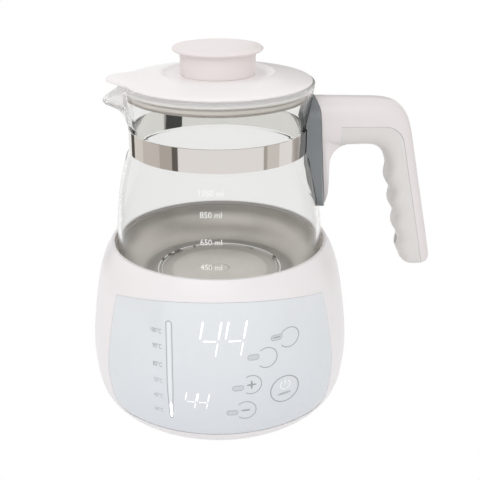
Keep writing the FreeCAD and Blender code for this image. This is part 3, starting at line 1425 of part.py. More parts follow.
def handle_stations():
    """Pairs of guide points, outer and inner, that each cross-section of the handle spans."""
    start_x = MOUNT_FACE_TOP_X - HANDLE_ROOT_OVERLAP
    outer_x = HANDLE_BACK_TOP_X - HANDLE_CORNER_INSET - HANDLE_OUTER_CORNER
    outer_turn = Vector(outer_x, 0, ARM_TOP_Z - ARM_FALL - HANDLE_OUTER_CORNER)
    inner_x = GRIP_TOP_X - HANDLE_CORNER_INSET - HANDLE_INNER_CORNER
    inner_turn = Vector(inner_x, 0, ARM_BOTTOM_Z - HANDLE_INNER_CORNER)
    pairs = []
    for i in range(4):
        share = i / 4
        outer_x = start_x + (outer_turn.x - start_x) * share
        inner_x = start_x + (inner_turn.x - start_x) * share
        top = Vector(outer_x, 0, ARM_TOP_Z - ARM_FALL * share)
        pairs.append((top, Vector(inner_x, 0, ARM_BOTTOM_Z)))
    for turn in (90.0, 65.0, 40.0, 15.0):
        out = around(turn, HANDLE_OUTER_CORNER)
        inn = around(turn, HANDLE_INNER_CORNER)
        pairs.append((outer_turn + Vector(out.x, 0, out.y), inner_turn + Vector(inn.x, 0, inn.y)))
    count = int((WAVE_FIRST_Z - GRIP_LOW_Z) / (WAVE_PITCH / 4)) + 3
    first_drop = HANDLE_BACK_TOP_Z - WAVE_FIRST_Z - WAVE_PITCH
    for i in range(count):
        z = WAVE_FIRST_Z + WAVE_PITCH / 4 * (2 - i)
        outer_z = z + first_drop * (1 - i / (count - 1)) + 1.0
        pairs.append((Vector(grip_outer_x(outer_z), 0, outer_z), Vector(grip_inner_x(z), 0, z)))
    return pairs


def handle_end_stations(last):
    """The closing rings below the last full cross-section of the grip."""
    outer, inner = last
    middle = (outer + inner) * 0.5
    half = (outer - inner) * 0.5
    depth = middle.z - HANDLE_END_Z
    rings = []
    for reach, drop in ((0.97, 0.45), (0.84, 0.85), (0.55, 1.0), (0.2, 1.0)):
        centre = middle + Vector(depth * drop * 0.2, 0, -depth * drop)
        rings.append((centre + half * reach, centre - half * reach))
    return rings


def handle_section(outer, inner, shrink, width, finger_squareness=HANDLE_SQUARENESS):
    """A squarish oval that spans outer to inner in the XZ plane and width to each side."""
    middle = (outer + inner) * 0.5
    reach = (outer - inner) * 0.5
    direction = Vector(reach)
    direction.normalize()
    length = (reach.Length - shrink) * guide_swell(HANDLE_GUIDES)
    width = (width - shrink) * guide_swell(HANDLE_GUIDES)
    points = []
    for i in range(HANDLE_GUIDES):
        turn = 2 * math.pi * (i + 0.5) / HANDLE_GUIDES
        c, s = math.cos(turn), math.sin(turn)
        power = 2.0 / (HANDLE_SQUARENESS if c > 0 else finger_squareness)
        along = math.copysign(abs(c) ** power, c) * length
        across = math.copysign(abs(s) ** power, s) * width
        points.append(middle + direction * along + Vector(0, across, 0))
    return points


def handle_body(shrink):
    """The handle as if it were solid, its surface moved in by shrink."""
    pairs = handle_stations()
    rings = []
    for n, (outer, inner) in enumerate(pairs):
        extra = (ARM_ROOT_SQUARENESS - HANDLE_SQUARENESS) * max(0.0, 1 - n / 4)
        squareness = HANDLE_SQUARENESS + extra
        rings.append(handle_section(outer, inner, shrink, HANDLE_HALF_WIDTH, squareness))
    if not shrink:
        full = (pairs[-1][0] - pairs[-1][1]).Length
        for outer, inner in handle_end_stations(pairs[-1]):
            width = HANDLE_HALF_WIDTH * (outer - inner).Length / full
            rings.append(handle_section(outer, inner, 0.0, width))
    return net_solid(rings)


def tail_body():
    """The tongue of the handle that runs down the mount below the arm."""
    front_x = MOUNT_FACE_TOP_X - TAIL_ROOT_OVERLAP
    top_z = ARM_TOP_Z - ARM_HEIGHT / 2
    corner_centre = Vector(TAIL_BACK_X + TAIL_CORNER, 0, ARM_BOTTOM_Z - TAIL_CORNER)
    corner = math.sqrt(0.5) * TAIL_CORNER
    bevel_top = Vector(TAIL_BACK_X, 0, TAIL_TIP_Z + TAIL_TIP_BEVEL_RISE)
    bevel_end = Vector(TAIL_BACK_X - TAIL_TIP_BEVEL, 0, TAIL_TIP_Z)
    edges = [
        line(Vector(front_x, 0, top_z), Vector(corner_centre.x, 0, top_z)),
        line(Vector(corner_centre.x, 0, top_z), Vector(corner_centre.x, 0, ARM_BOTTOM_Z)),
        arc(
            Vector(corner_centre.x, 0, ARM_BOTTOM_Z),
            corner_centre + Vector(-corner, 0, corner),
            Vector(TAIL_BACK_X, 0, corner_centre.z),
        ),
        line(Vector(TAIL_BACK_X, 0, corner_centre.z), bevel_top),
        line(bevel_top, bevel_end),
        line(bevel_end, Vector(front_x, 0, TAIL_TIP_Z)),
        line(Vector(front_x, 0, TAIL_TIP_Z), Vector(front_x, 0, top_z)),
    ]
    face = Part.Face(Part.Wire(edges))
    slab = face.extrude(Vector(0, 2 * HANDLE_HALF_WIDTH, 0))
    slab.translate(Vector(0, -HANDLE_HALF_WIDTH, 0))
    half = HANDLE_HALF_WIDTH - TAIL_SIDE_INSET
    points = [
        (half * 0.98, top_z),
        (half, ARM_BOTTOM_Z - TAIL_CORNER),
        (half * 0.85, TAIL_TIP_Z + TAIL_SHOULDER_RISE),
        (half * 0.35, TAIL_TIP_Z),
    ]
    right = [Vector(0, w, z) for w, z in points]
    left = [Vector(0, -w, z) for w, z in reversed(points)]
    outline = Part.Wire([
        spline(right).toShape(),
        line(right[-1], left[0]),
        spline(left).toShape(),
        line(left[-1], right[0]),
    ])
    slab = slab.common(Part.Face(outline).extrude(Vector(HANDLE_BACK_LOW_X, 0, 0)))
    back = half - TAIL_NARROWING / 2
    corners = [
        Vector(front_x, half, TAIL_TIP_Z),
        Vector(TAIL_BACK_X - TAIL_NARROWING, half, TAIL_TIP_Z),
        Vector(TAIL_BACK_X, back, TAIL_TIP_Z),
        Vector(TAIL_BACK_X + TAIL_NARROW_REACH, back - TAIL_NARROWING, TAIL_TIP_Z),
        Vector(TAIL_BACK_X + TAIL_NARROW_END, half / 2, TAIL_TIP_Z),
    ]
    plan = outline_face(corners + [Vector(v.x, -v.y, v.z) for v in reversed(corners)])
    return slab.common(plan.extrude(Vector(0, 0, ARM_TOP_Z - TAIL_TIP_Z)))


def hollow_handle():
    """Arm, grip and tail in one hollow piece, cut to seat on the mount's face."""
    whole = handle_body(0.0).fuse(tail_body()).cut(mount_barrel(SEAT))
    cavity = handle_body(HANDLE_WALL).cut(mount_barrel(SEAT + HANDLE_WALL))
    return whole.cut(cavity)


def seam_block(gap):
    """Everything on the finger side of the parting between the handle's halves, less half a gap."""
    z = SEAM_Z - gap / 2
    start_x = SEAM_START_X + gap / 6
    top_x = SEAM_BACK_TOP_X - gap / 2
    low_x = SEAM_BACK_LOW_X - gap / 2
    corner_x = top_x - SEAM_CORNER
    low_z = HANDLE_END_Z - SEAM_OVERRUN
    edges = [
        line(Vector(start_x, 0, low_z), Vector(start_x, 0, z)),
        line(Vector(start_x, 0, z), Vector(corner_x, 0, z)),
        arc(
            Vector(corner_x, 0, z),
            Vector(corner_x + SEAM_CORNER * 0.66, 0, z - SEAM_CORNER * 0.31),
            Vector(top_x, 0, z - SEAM_CORNER),
        ),
        line(Vector(top_x, 0, z - SEAM_CORNER), Vector(low_x, 0, low_z)),
        line(Vector(low_x, 0, low_z), Vector(start_x, 0, low_z)),
    ]
    face = Part.Face(Part.Wire(edges))
    reach = 2 * HANDLE_HALF_WIDTH
    return face.extrude(Vector(0, 2 * reach, 0)).translated(Vector(0, -reach, 0))


def handle_screw_places():
    """Where the handle's two screws enter the finger side: under the arm and low on the grip."""
    arm_x = TAIL_BACK_X + ARM_SCREW_BACK
    low_z = WAVE_FIRST_Z - 2.75 * WAVE_PITCH
    return (
        (Vector(arm_x, 0, ARM_BOTTOM_Z), Vector(0, 0, 1)),
        (Vector(grip_inner_x(low_z), 0, low_z), Vector(1, 0, 0)),
    )


def handle_shell(handle):
    """Outer half of the handle: root, top and back, with a post for each joining screw."""
    shell = handle.cut(seam_block(-SEAM_WIDTH))
    inside = handle_body(HANDLE_POST_SKIN)
    for place, along in handle_screw_places():
        start = place + along * (HANDLE_SCREW_DEPTH + HANDLE_POST_START)
        post = rod(HANDLE_POST_RADIUS, start, place + along * (2 * ARM_HEIGHT))
        post = post.common(inside).cut(seam_block(-SEAM_WIDTH))
        depth = HANDLE_SCREW_DEPTH + HANDLE_SCREW_LENGTH + BEYOND
        pilot = rod(SCREW_SHANK, place, place + along * depth)
        shell = shell.fuse(post).cut(pilot)
    boss_start = Vector(mount_face_x(MOUNT_SCREW_HIGH_Z) + BEYOND, 0, MOUNT_SCREW_HIGH_Z)
    boss = rod(HANDLE_POST_RADIUS, boss_start, boss_start + Vector(MOUNT_SCREW_LENGTH, 0, 0))
    shell = shell.fuse(boss.common(inside))
    bolt_start = Vector(NECK_RADIUS, 0, BAND_MIDDLE_Z)
    head_start = Vector(clamp_head_x() - HEAD_GAP / 2, 0, BAND_MIDDLE_Z)
    shell = shell.cut(rod(CLAMP_BOLT_RADIUS + ASSEMBLY_GAP, bolt_start, head_start))
    head_end = head_start + Vector(HANDLE_SCREW_LENGTH, 0, 0)
    head_room = rod(CLAMP_BOLT_HEAD + ASSEMBLY_GAP, head_start, head_end)
    shell = shell.cut(head_room)
    for z in (MOUNT_SCREW_LOW_Z, MOUNT_SCREW_HIGH_Z):
        start = Vector(mount_face_x(z) - MOUNT_SCREW_SINK, 0, z)
        shell = shell.cut(rod(SCREW_SHANK, start, start + Vector(MOUNT_SCREW_LENGTH + SEAT, 0, 0)))
    return max(shell.Solids, key=lambda s: s.Volume)


def handle_grip(handle):
    """Inner half of the handle with the finger waves."""
    grip = handle.common(seam_block(SEAM_WIDTH))
    inside = handle_body(HANDLE_POST_SKIN)
    for place, along in handle_screw_places():
        seat = place + along * HANDLE_SCREW_DEPTH
        post = rod(GRIP_POST_RADIUS, place, seat + along * GRIP_POST_RISE).common(inside)
        head = rod(SCREW_HEAD + SCREW_CLEARANCE, place - along * HANDLE_SCREW_DEPTH, seat)
        shank = rod(SCREW_SHANK + SCREW_CLEARANCE, place, place + along * ARM_HEIGHT)
        grip = grip.fuse(post).cut(head).cut(shank)
    return max(grip.Solids, key=lambda s: s.Volume)


def handle_screws():
    screws = []
    for place, along in handle_screw_places():
        head = place + along * (HANDLE_SCREW_DEPTH - HEAD_GAP)
        screws.append(screw(head, along, HANDLE_SCREW_LENGTH))
    return screws


# Lid

def lid_crown(drop):
    """The top of the lid as radius and height pairs from the well outwards, lowered by drop."""
    return [
        (KNOB_STEM_LOW_RADIUS + KNOB_WALL, LID_FLOOR_Z - drop),
        (LID_WELL_RADIUS - LID_WELL_SLOPE, LID_FLOOR_Z + SEAT - drop),
        (LID_WELL_RADIUS, LID_WELL_Z - drop),
        (LID_CROWN_RADIUS, LID_CROWN_Z - drop),
        (LID_BEVEL_RADIUS, LID_BEVEL_Z - drop),
    ]


def lid_cover():
    """White cover: shallow dome with a well round the knob and a beak over the spout."""
    top = [profile_point(r, z) for r, z in lid_crown(0.0)]
    edge_top = LID_EDGE_Z + LID_EDGE_HEIGHT
    rim = [
        profile_point(LID_BEVEL_RADIUS, LID_BEVEL_Z),
        profile_point(LID_RADIUS - LID_SHOULDER_INSET, LID_EDGE_Z + LID_SHOULDER_RISE),
        profile_point(LID_RADIUS, edge_top),
    ]
    under = LID_WALL
    edges = [
        line(Vector(0, 0, LID_FLOOR_Z), top[0]),
        spline(top).toShape(),
        spline(rim).toShape(),
        *polyline([
            (LID_RADIUS, edge_top),
            (LID_RADIUS, LID_EDGE_Z),
            (LID_BEVEL_RADIUS, LID_EDGE_Z),
            (LID_CROWN_RADIUS, LID_CROWN_Z - under),
            (LID_WELL_RADIUS, LID_FLOOR_Z - under),
            (0.0, LID_FLOOR_Z - under),
            (0.0, LID_FLOOR_Z),
        ]),
    ]
    cover = turned(edges).fuse(beak())
    hole = cylinder(SCREW_SHANK + SCREW_CLEARANCE, LID_EDGE_Z, LID_FLOOR_Z + BEYOND)
    return cover.cut(hole)


def beak_section(x, half, top):
    """One cross-section of the beak: an upright edge to each side and a low arch between them."""
    low, edge = LID_EDGE_Z, LID_EDGE_Z + LID_EDGE_HEIGHT
    arch = []
    for turn in (0, 25, 50, 75, 90, 105, 130, 155, 180):
        out = around(turn, 1.0)
        arch.append(Vector(x, half * out.x, edge + (top - edge) * out.y))
    return Part.Wire([
        line(Vector(x, -half, low), Vector(x, half, low)),
        line(Vector(x, half, low), arch[0]),
        spline(arch).toShape(),
        line(arch[-1], Vector(x, -half, low)),
    ])


def outline_face(corners):
    """The flat face inside a closed outline of straight edges."""
    return Part.Face(Part.Wire([line(a, b) for a, b in zip(corners, corners[1:] + corners[:1])]))


def beak():
    """The tongue of the lid that covers the spout: a low ridge to a blunt tip, with a keel below."""
    sections = []
    for i in range(BEAK_SECTIONS):
        back = (1 - i / (BEAK_SECTIONS - 1)) ** 1.5
        half = BEAK_TIP_HALF + (BEAK_BACK_HALF - BEAK_TIP_HALF) * back
        dip = (BEAK_TOP_RISE - BEAK_BACK_RISE) * back ** 2 + BEAK_TIP_FALL * (1 - back) ** 10
        sections.append(beak_section(BEAK_TIP_X + BEAK_BACK * back, half, BEAK_TOP_Z - dip))
    upper = Part.makeLoft(sections, True, False)
    root_z = LID_EDGE_Z + BEAK_LOW_EDGE / 2
    front_x = BEAK_KEEL_X - BEAK_KEEL_SLOPE
    side = outline_face([
        Vector(front_x - 1.5, 0, root_z),
        Vector(front_x, 0, (BEAK_KEEL_Z + LID_EDGE_Z) / 2),
        Vector(BEAK_KEEL_X, 0, BEAK_KEEL_Z),
        Vector(BEAK_ROOT_X - 2.0, 0, BEAK_KEEL_Z),
        Vector(BEAK_ROOT_X, 0, root_z),
    ])
    slab = side.extrude(Vector(0, 2 * LID_RADIUS, 0)).translated(Vector(0, -LID_RADIUS, 0))
    back_x = BEAK_ROOT_X + BEYOND
    plan = outline_face([
        Vector(back_x, -BEAK_ROOT_HALF, 0),
        Vector(BEAK_TIP_X, -BEAK_TIP_HALF, 0),
        Vector(BEAK_TIP_X, BEAK_TIP_HALF, 0),
        Vector(back_x, BEAK_ROOT_HALF, 0),
    ])
    keel = slab.common(plan.extrude(Vector(0, 0, BEAK_TOP_Z)))
    inside = lathe([
        (0.0, LID_EDGE_Z - BEYOND),
        (LID_BEVEL_RADIUS, LID_EDGE_Z - BEYOND),
        (LID_BEVEL_RADIUS, LID_EDGE_Z),
        (LID_CROWN_RADIUS, LID_CROWN_Z - LID_WALL),
        (0.0, LID_CROWN_Z - LID_WALL),
    ])
    return upper.cut(inside).fuse(keel)


def pour_gap():
    """The sector on the spout side that is left open for pouring."""
    across = BEAK_TIP_X * math.tan(math.radians(POUR_GAP_HALF_ANGLE))
    sector = outline_face([
        Vector(0, 0, 0),
        Vector(BEAK_TIP_X, across, 0),
        Vector(BEAK_TIP_X, -across, 0),
    ])
    return sector.extrude(Vector(0, 0, BEAK_TOP_Z))


def lid_underside(radius):
    """The height of the cover's underside at a radius between its rim and its crown."""
    share = (LID_BEVEL_RADIUS - radius) / (LID_BEVEL_RADIUS - LID_CROWN_RADIUS)
    return LID_EDGE_Z + (LID_CROWN_Z - LID_WALL - LID_EDGE_Z) * share


def lid_plug():
    """Cup under the cover that fills the mouth and carries the seal."""
    inner = PLUG_RADIUS - PLUG_WALL
    cup = lathe([
        (0.0, PLUG_BOTTOM_Z),
        (PLUG_RADIUS - PLUG_EDGE, PLUG_BOTTOM_Z),
        (PLUG_RADIUS, PLUG_BOTTOM_Z + PLUG_EDGE_HEIGHT),
        (PLUG_RADIUS, lid_underside(PLUG_RADIUS) - BOND),
        (inner, lid_underside(inner) - BOND),
        (inner, PLUG_BOTTOM_Z + PLUG_FLOOR),
        (0.0, PLUG_BOTTOM_Z + PLUG_FLOOR),
    ])
    post = cylinder(KNOB_BOSS_RADIUS, PLUG_BOTTOM_Z + PLUG_FLOOR, LID_FLOOR_Z - LID_WALL - BOND)
    cup = cup.fuse(post)
    cup = cup.cut(cylinder(SCREW_SHANK + SCREW_CLEARANCE, PLUG_BOTTOM_Z, LID_FLOOR_Z))
    recess = SCREW_HEAD_HEIGHT + LID_SCREW_PLATE
    cup = cup.cut(cylinder(SCREW_HEAD + SCREW_CLEARANCE, PLUG_BOTTOM_Z, PLUG_BOTTOM_Z + recess))
    half, low = POUR_GAP_HALF_WIDTH, BEAK_KEEL_Z - LIFT_GAP
    keel = block(BEAK_TIP_X, BEAK_ROOT_X + BEYOND / 2, -half, half, low, KNOB_TOP_Z)
    return cup.cut(keel.common(pour_gap()))


def lid_seal():
    """Silicone sleeve round the plug with two lips, open on the spout side."""
    inner = PLUG_RADIUS + BOND
    outer = inner + SEAL_SLEEVE
    low, high, lip = SEAL_LOW_Z, SEAL_HIGH_Z, SEAL_LIP_HEIGHT
    low_tip = mouth_radius(low) - JUG_WALL - ASSEMBLY_GAP
    high_tip = mouth_radius(high - lip) - JUG_WALL - ASSEMBLY_GAP
    sleeve = lathe([
        (inner, low),
        (outer, low),
        (low_tip, low + lip / 2),
        (outer, low + lip),
        (outer, high - lip),
        (high_tip, high - lip / 2),
        (outer, high),
        (inner, high),
    ])
    return sleeve.cut(pour_gap())


def lid_knob():
    """Hollow knob: a wide stem under a flat disc, with a screw boss inside."""
    disc_low = KNOB_TOP_Z - KNOB_DISC_THICKNESS
    edge = KNOB_DISC_EDGE
    outline = [
        (0.0, KNOB_TOP_Z),
        (KNOB_DISC_RADIUS - edge, KNOB_TOP_Z),
        (KNOB_DISC_RADIUS, KNOB_TOP_Z - edge),
        (KNOB_DISC_RADIUS, disc_low + edge),
        (KNOB_DISC_RADIUS - edge, disc_low),
        (KNOB_STEM_TOP_RADIUS, disc_low),
        (KNOB_STEM_LOW_RADIUS, KNOB_BOTTOM_Z),
        (KNOB_STEM_LOW_RADIUS - KNOB_WALL, KNOB_BOTTOM_Z),
        (KNOB_STEM_TOP_RADIUS - KNOB_WALL, KNOB_TOP_Z - KNOB_WALL),
        (KNOB_BOSS_RADIUS, KNOB_TOP_Z - KNOB_WALL),
        (KNOB_BOSS_RADIUS, KNOB_BOTTOM_Z),
        (0.0, KNOB_BOTTOM_Z),
    ]
    knob = lathe(outline)
    return knob.cut(cylinder(SCREW_SHANK, KNOB_BOTTOM_Z, KNOB_BOTTOM_Z + KNOB_SCREW_LENGTH))


def knob_screw():
    head = PLUG_BOTTOM_Z + SCREW_HEAD_HEIGHT + LID_SCREW_PLATE - HEAD_GAP
    length = KNOB_BOTTOM_Z + KNOB_SCREW_LENGTH - BEYOND - head
    return screw(Vector(0, 0, head), Vector(0, 0, 1), length)


# All nodes

write("base_housing", base_housing())
write("front_panel", front_panel())
write("bottom_cover", bottom_cover())
write("ring_foot", ring_foot())
write("cover_screws", *cover_screws())
write("heating_dish", heating_dish())
write("dish_seal", dish_seal())
write("heat_spreader", heat_spreader())
write("heating_element", heating_element())
write("dish_carrier", dish_carrier())
write("carrier_screws", *carrier_screws())
write("thermal_cutout", thermal_cutout())
write("temperature_probe", temperature_probe())
write("probe_spring", probe_spring())
write("probe_holder", probe_holder())
write("display_board", display_board())
write("main_display", light_box(MAIN_DIGITS))
write("small_display", light_box(SMALL_DIGITS))
write("level_light_guide", light_box(LEVEL_GUIDE))
write("touch_pads", *touch_pads())
write("display_board_screws", *display_board_screws())
write("power_board", power_board())
write("transformer", transformer())
write("relay", relay())
write("terminal_block", terminal_block())
write("buzzer", buzzer())
write("power_board_screws", *power_board_screws())
write("cord_gland", cord_gland())
write("cord_clamp", cord_clamp())
write("cord_clamp_screws", *cord_clamp_screws())
write("glass_jug", glass_jug())
write("neck_band", neck_band())
write("band_nut", band_nut())
write("clamp_screw", clamp_screw())
write("handle_mount", handle_mount())
write("mount_screws", mount_screw(MOUNT_SCREW_LOW_Z), mount_screw(MOUNT_SCREW_HIGH_Z))
handle = hollow_handle()
write("handle_shell", handle_shell(handle))
write("handle_grip", handle_grip(handle))
write("handle_screws", *handle_screws())
write("lid_cover", lid_cover())
write("lid_plug", lid_plug())
write("lid_seal", lid_seal())
write("lid_knob", lid_knob())
write("knob_screw", knob_screw())
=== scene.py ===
"""Looks of a baby formula kettle: glass jug with lid and handle, standing in a heated base.

Metres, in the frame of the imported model: the base's axis meets the table at the origin, +Z is up,
+X is towards the handle, -X towards the spout and -Y is the front with the display.
"""

import math

import bpy
import numpy as np
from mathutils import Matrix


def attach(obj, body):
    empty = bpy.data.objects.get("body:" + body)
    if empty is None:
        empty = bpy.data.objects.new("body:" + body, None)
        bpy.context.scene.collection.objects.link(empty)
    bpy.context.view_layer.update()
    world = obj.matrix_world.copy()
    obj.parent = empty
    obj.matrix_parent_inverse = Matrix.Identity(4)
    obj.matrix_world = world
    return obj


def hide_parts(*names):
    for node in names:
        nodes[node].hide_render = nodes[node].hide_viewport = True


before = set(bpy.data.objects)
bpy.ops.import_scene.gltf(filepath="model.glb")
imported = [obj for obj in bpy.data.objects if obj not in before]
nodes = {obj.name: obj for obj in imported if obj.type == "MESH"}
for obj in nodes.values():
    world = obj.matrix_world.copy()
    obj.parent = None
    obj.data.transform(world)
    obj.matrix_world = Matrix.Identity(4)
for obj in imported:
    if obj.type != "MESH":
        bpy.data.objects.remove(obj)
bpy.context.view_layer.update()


# Base housing. One injection moulding in white ABS, with a fine spark-eroded texture from its
# mould. It carries every other piece of the base, and its cover is screwed on from below.

HOUSING_WHITE = "#EFEBEC"
HOUSING_SHADE = "#EBE7E8"
FLOW_MARK_MM = 60.0
# The real grain is nearer 0.1 mm wide: it is drawn coarser so that it shows.
MOULD_GRAIN_MM = 0.35
MOULD_GRAIN_DEPTH = 0.00004
PLASTIC_IOR = 1.5


def linear(hex_colour):
    """An sRGB hex colour as linear red, green, blue and full alpha."""
    parts = [int(hex_colour[i:i + 2], 16) / 255 for i in (1, 3, 5)]
    return [c / 12.92 if c <= 0.04045 else ((c + 0.055) / 1.055) ** 2.4 for c in parts] + [1.0]


def add(tree, kind, settings, links=()):
    """Adds a node, sets its properties or unlinked sockets, and links sockets to it."""
    node = tree.nodes.new(kind)
    for name, value in settings.items():
        if isinstance(name, str) and hasattr(node, name):
            setattr(node, name, value)
        else:
            node.inputs[name].default_value = value
    for name, source in links:
        tree.links.new(source, node.inputs[name])
    return node


def new_material(name):
    """An empty material, its node tree and its Principled shader."""
    material = bpy.data.materials.new(name)
    material.use_nodes = True
    tree = material.node_tree
    tree.nodes.clear()
    shader = add(tree, "ShaderNodeBsdfPrincipled", {})
    add(tree, "ShaderNodeOutputMaterial", {}, [("Surface", shader.outputs[0])])
    return material, tree, shader


def moulded_plastic(name, colour, shade, roughness, grain_mm=MOULD_GRAIN_MM, strength=0.1):
    """Injection moulded plastic: an even colour with faint flow marks, over a fine even texture
    that softens highlights, and a roughness that handling has made slightly uneven."""
    material, tree, shader = new_material(name)
    place = add(tree, "ShaderNodeTexCoord", {})
    flow = add(tree, "ShaderNodeTexNoise", {"Scale": 1000 / FLOW_MARK_MM, "Detail": 2.0},
               [("Vector", place.outputs["Object"])])
    tint = add(tree, "ShaderNodeValToRGB", {}, [("Fac", flow.outputs["Fac"])])
    tint.color_ramp.elements[0].position = 0.3
    tint.color_ramp.elements[0].color = linear(shade)
    tint.color_ramp.elements[1].position = 0.7
    tint.color_ramp.elements[1].color = linear(colour)
    tree.links.new(tint.outputs["Color"], shader.inputs["Base Color"])
    grain = add(tree, "ShaderNodeTexNoise", {"Scale": 1000 / grain_mm, "Detail": 3.0},
                [("Vector", place.outputs["Object"])])
    dents = add(tree, "ShaderNodeBump", {"Strength": strength, "Distance": MOULD_GRAIN_DEPTH},
                [("Height", grain.outputs["Fac"])])
    tree.links.new(dents.outputs["Normal"], shader.inputs["Normal"])
    worn = add(tree, "ShaderNodeMapRange", {"To Min": roughness - 0.04, "To Max": roughness + 0.05},
               [("Value", flow.outputs["Fac"])])
    tree.links.new(worn.outputs["Result"], shader.inputs["Roughness"])
    shader.inputs["IOR"].default_value = PLASTIC_IOR
    return material


def finish_node(node, material):
    """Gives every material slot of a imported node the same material."""
    data = nodes[node].data
    if not data.materials:
        data.materials.append(material)
    for i in range(len(data.materials)):
        data.materials[i] = material


abs_white = moulded_plastic("abs_white_satin", HOUSING_WHITE, HOUSING_SHADE, 0.30)
finish_node("base_housing", abs_white)


# Front panel. A thin window of translucent polycarbonate, back-painted a pale blue-grey and glued
# into a pocket of the housing. Its prints, keys and lit figures follow further down.

PANEL_TOP_COLOUR = "#E2E5E8"
PANEL_LOW_COLOUR = "#D9DDE2"
PANEL_LOW_Z = 0.015
PANEL_HIGH_Z = 0.095
PANEL_CLOUD_MM = 45.0
PANEL_CLOUD_SHARE = 0.25
PANEL_WAVE_DEPTH = 0.0004
POLYCARBONATE_IOR = 1.58


def back_painted_window():
    """Polycarbonate, painted on its back: smooth and glossy, its tint a little deeper towards
    the bottom, with the soft waviness of a thin moulding."""
    material, tree, shader = new_material("polycarbonate_back_painted")
    place = add(tree, "ShaderNodeTexCoord", {})
    apart = add(tree, "ShaderNodeSeparateXYZ", {}, [("Vector", place.outputs["Object"])])
    height = add(tree, "ShaderNodeMapRange", {"From Min": PANEL_LOW_Z, "From Max": PANEL_HIGH_Z},
                 [("Value", apart.outputs["Z"])])
    cloud = add(tree, "ShaderNodeTexNoise", {"Scale": 1000 / PANEL_CLOUD_MM, "Detail": 2.0},
                [("Vector", place.outputs["Object"])])
    spread = add(tree, "ShaderNodeMapRange",
                 {"To Min": -PANEL_CLOUD_SHARE, "To Max": PANEL_CLOUD_SHARE},
                 [("Value", cloud.outputs["Fac"])])
    total = add(tree, "ShaderNodeMath", {"operation": "ADD"},
                [(0, height.outputs["Result"]), (1, spread.outputs["Result"])])
    tint = add(tree, "ShaderNodeValToRGB", {}, [("Fac", total.outputs["Value"])])
    tint.color_ramp.elements[0].color = linear(PANEL_LOW_COLOUR)
    tint.color_ramp.elements[1].color = linear(PANEL_TOP_COLOUR)
    tree.links.new(tint.outputs["Color"], shader.inputs["Base Color"])
    wave = add(tree, "ShaderNodeBump", {"Strength": 0.15, "Distance": PANEL_WAVE_DEPTH},
               [("Height", cloud.outputs["Fac"])])
    tree.links.new(wave.outputs["Normal"], shader.inputs["Normal"])
    shader.inputs["Roughness"].default_value = 0.16
    shader.inputs["IOR"].default_value = POLYCARBONATE_IOR
    return material


finish_node("front_panel", back_painted_window())


# Lit figures of the panel: the white light of two seven-segment displays, seen through clear gaps
# in the paint. Each is a set of flat strokes laid on the panel's outside.

LIFT = 0.00006
LIT_WHITE = "#FFFFFF"
FILM_WHITE = "#F4F6F8"
FILM_GRAIN_MM = 0.8
FILM_GRAIN_DEPTH = 0.00002
GLOW_STRENGTH = 0.75
MAIN_DIGIT = {"height": 0.0198, "pitch": 0.0140, "width": 0.0101, "bar": 0.00105,
              "x": -0.0129, "z": 0.0664}
SMALL_DIGIT = {"height": 0.0102, "pitch": 0.0067, "width": 0.0060, "bar": 0.00052,
               "x": -0.0209, "z": 0.0336}
# Shares of a figure's height: how far its top leans over, and where its middle bar lies.
DIGIT_LEAN = 0.18
DIGIT_MIDDLE = 0.44
# Shares of a bar's width: the gap between bars, and what is left of it at a bar's ends.
BAR_GAP = 0.9
BAR_ENDS = 0.3


def panel_radius(z):
    """The radius of the panel's outside at each height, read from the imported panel: its vertices
    whose normals point away from the axis, joined by straight lines."""
    data = nodes["front_panel"].data
    points = np.empty(len(data.vertices) * 3)
    normals = np.empty(len(data.vertices) * 3)
    data.vertices.foreach_get("co", points)
    data.vertices.foreach_get("normal", normals)
    points, normals = points.reshape(-1, 3), normals.reshape(-1, 3)
    radius = np.hypot(points[:, 0], points[:, 1])
    outward = (points[:, 0] * normals[:, 0] + points[:, 1] * normals[:, 1]) / radius
    outside = outward > 0.75
    order = np.argsort(points[outside, 2])
    return np.interp(z, points[outside, 2][order], radius[outside][order])


def on_panel(x, z, lift=LIFT):
    """Points at x and z on the panel's curved front, lift above it along its radius."""
    radius = panel_radius(z) + lift
    return np.stack([x, -np.sqrt(radius ** 2 - x ** 2), z], axis=-1)


def placed(name, data):
    """A new object in the scene for a mesh, curve, lamp or camera."""
    obj = bpy.data.objects.new(name, data)
    bpy.context.scene.collection.objects.link(obj)
    return obj


def piece(name, points, faces, material, body, slot, smooth=True):
    """A new object from an array of points and a list or array of faces."""
    mesh = bpy.data.meshes.new(name)
    mesh.from_pydata(np.asarray(points).reshape(-1, 3).tolist(), [], [list(map(int, f)) for f in faces])
    mesh.materials.append(material)
    mesh.validate()
    mesh.polygons.foreach_set("use_smooth", np.full(len(mesh.polygons), smooth))
    obj = placed(name, mesh)
    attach(obj, body)
    return obj


def grid_faces(rows, columns, close_rows=False, close_columns=False):
    """The quads of a grid of points counted row by row, joined end to end where asked."""
    r = np.arange(rows if close_rows else rows - 1)
    c = np.arange(columns if close_columns else columns - 1)
    i, j = np.meshgrid(r, c, indexing="ij")
    i2, j2 = (i + 1) % rows, (j + 1) % columns
    corners = [i * columns + j, i2 * columns + j, i2 * columns + j2, i * columns + j2]
    return np.stack(corners, -1).reshape(-1, 4)


def stroke(path, width, ends=0.5, thinning=1.0):
    """A flat stroke along a path of x, z points: three rows across, thinning evenly to a share
    of its width and drawn in at both ends. Returns its x, z points and its quads."""
    path = np.asarray(path, float)
    step = np.gradient(path, axis=0)
    across = np.stack([-step[:, 1], step[:, 0]], -1)
    across /= np.linalg.norm(across, axis=1, keepdims=True)
    half = np.linspace(1.0, thinning, len(path)) * width / 2
    half[[0, -1]] *= ends
    rows = [path + across * half[:, None] * k for k in (1, 0, -1)]
    return np.concatenate(rows), grid_faces(3, len(path))


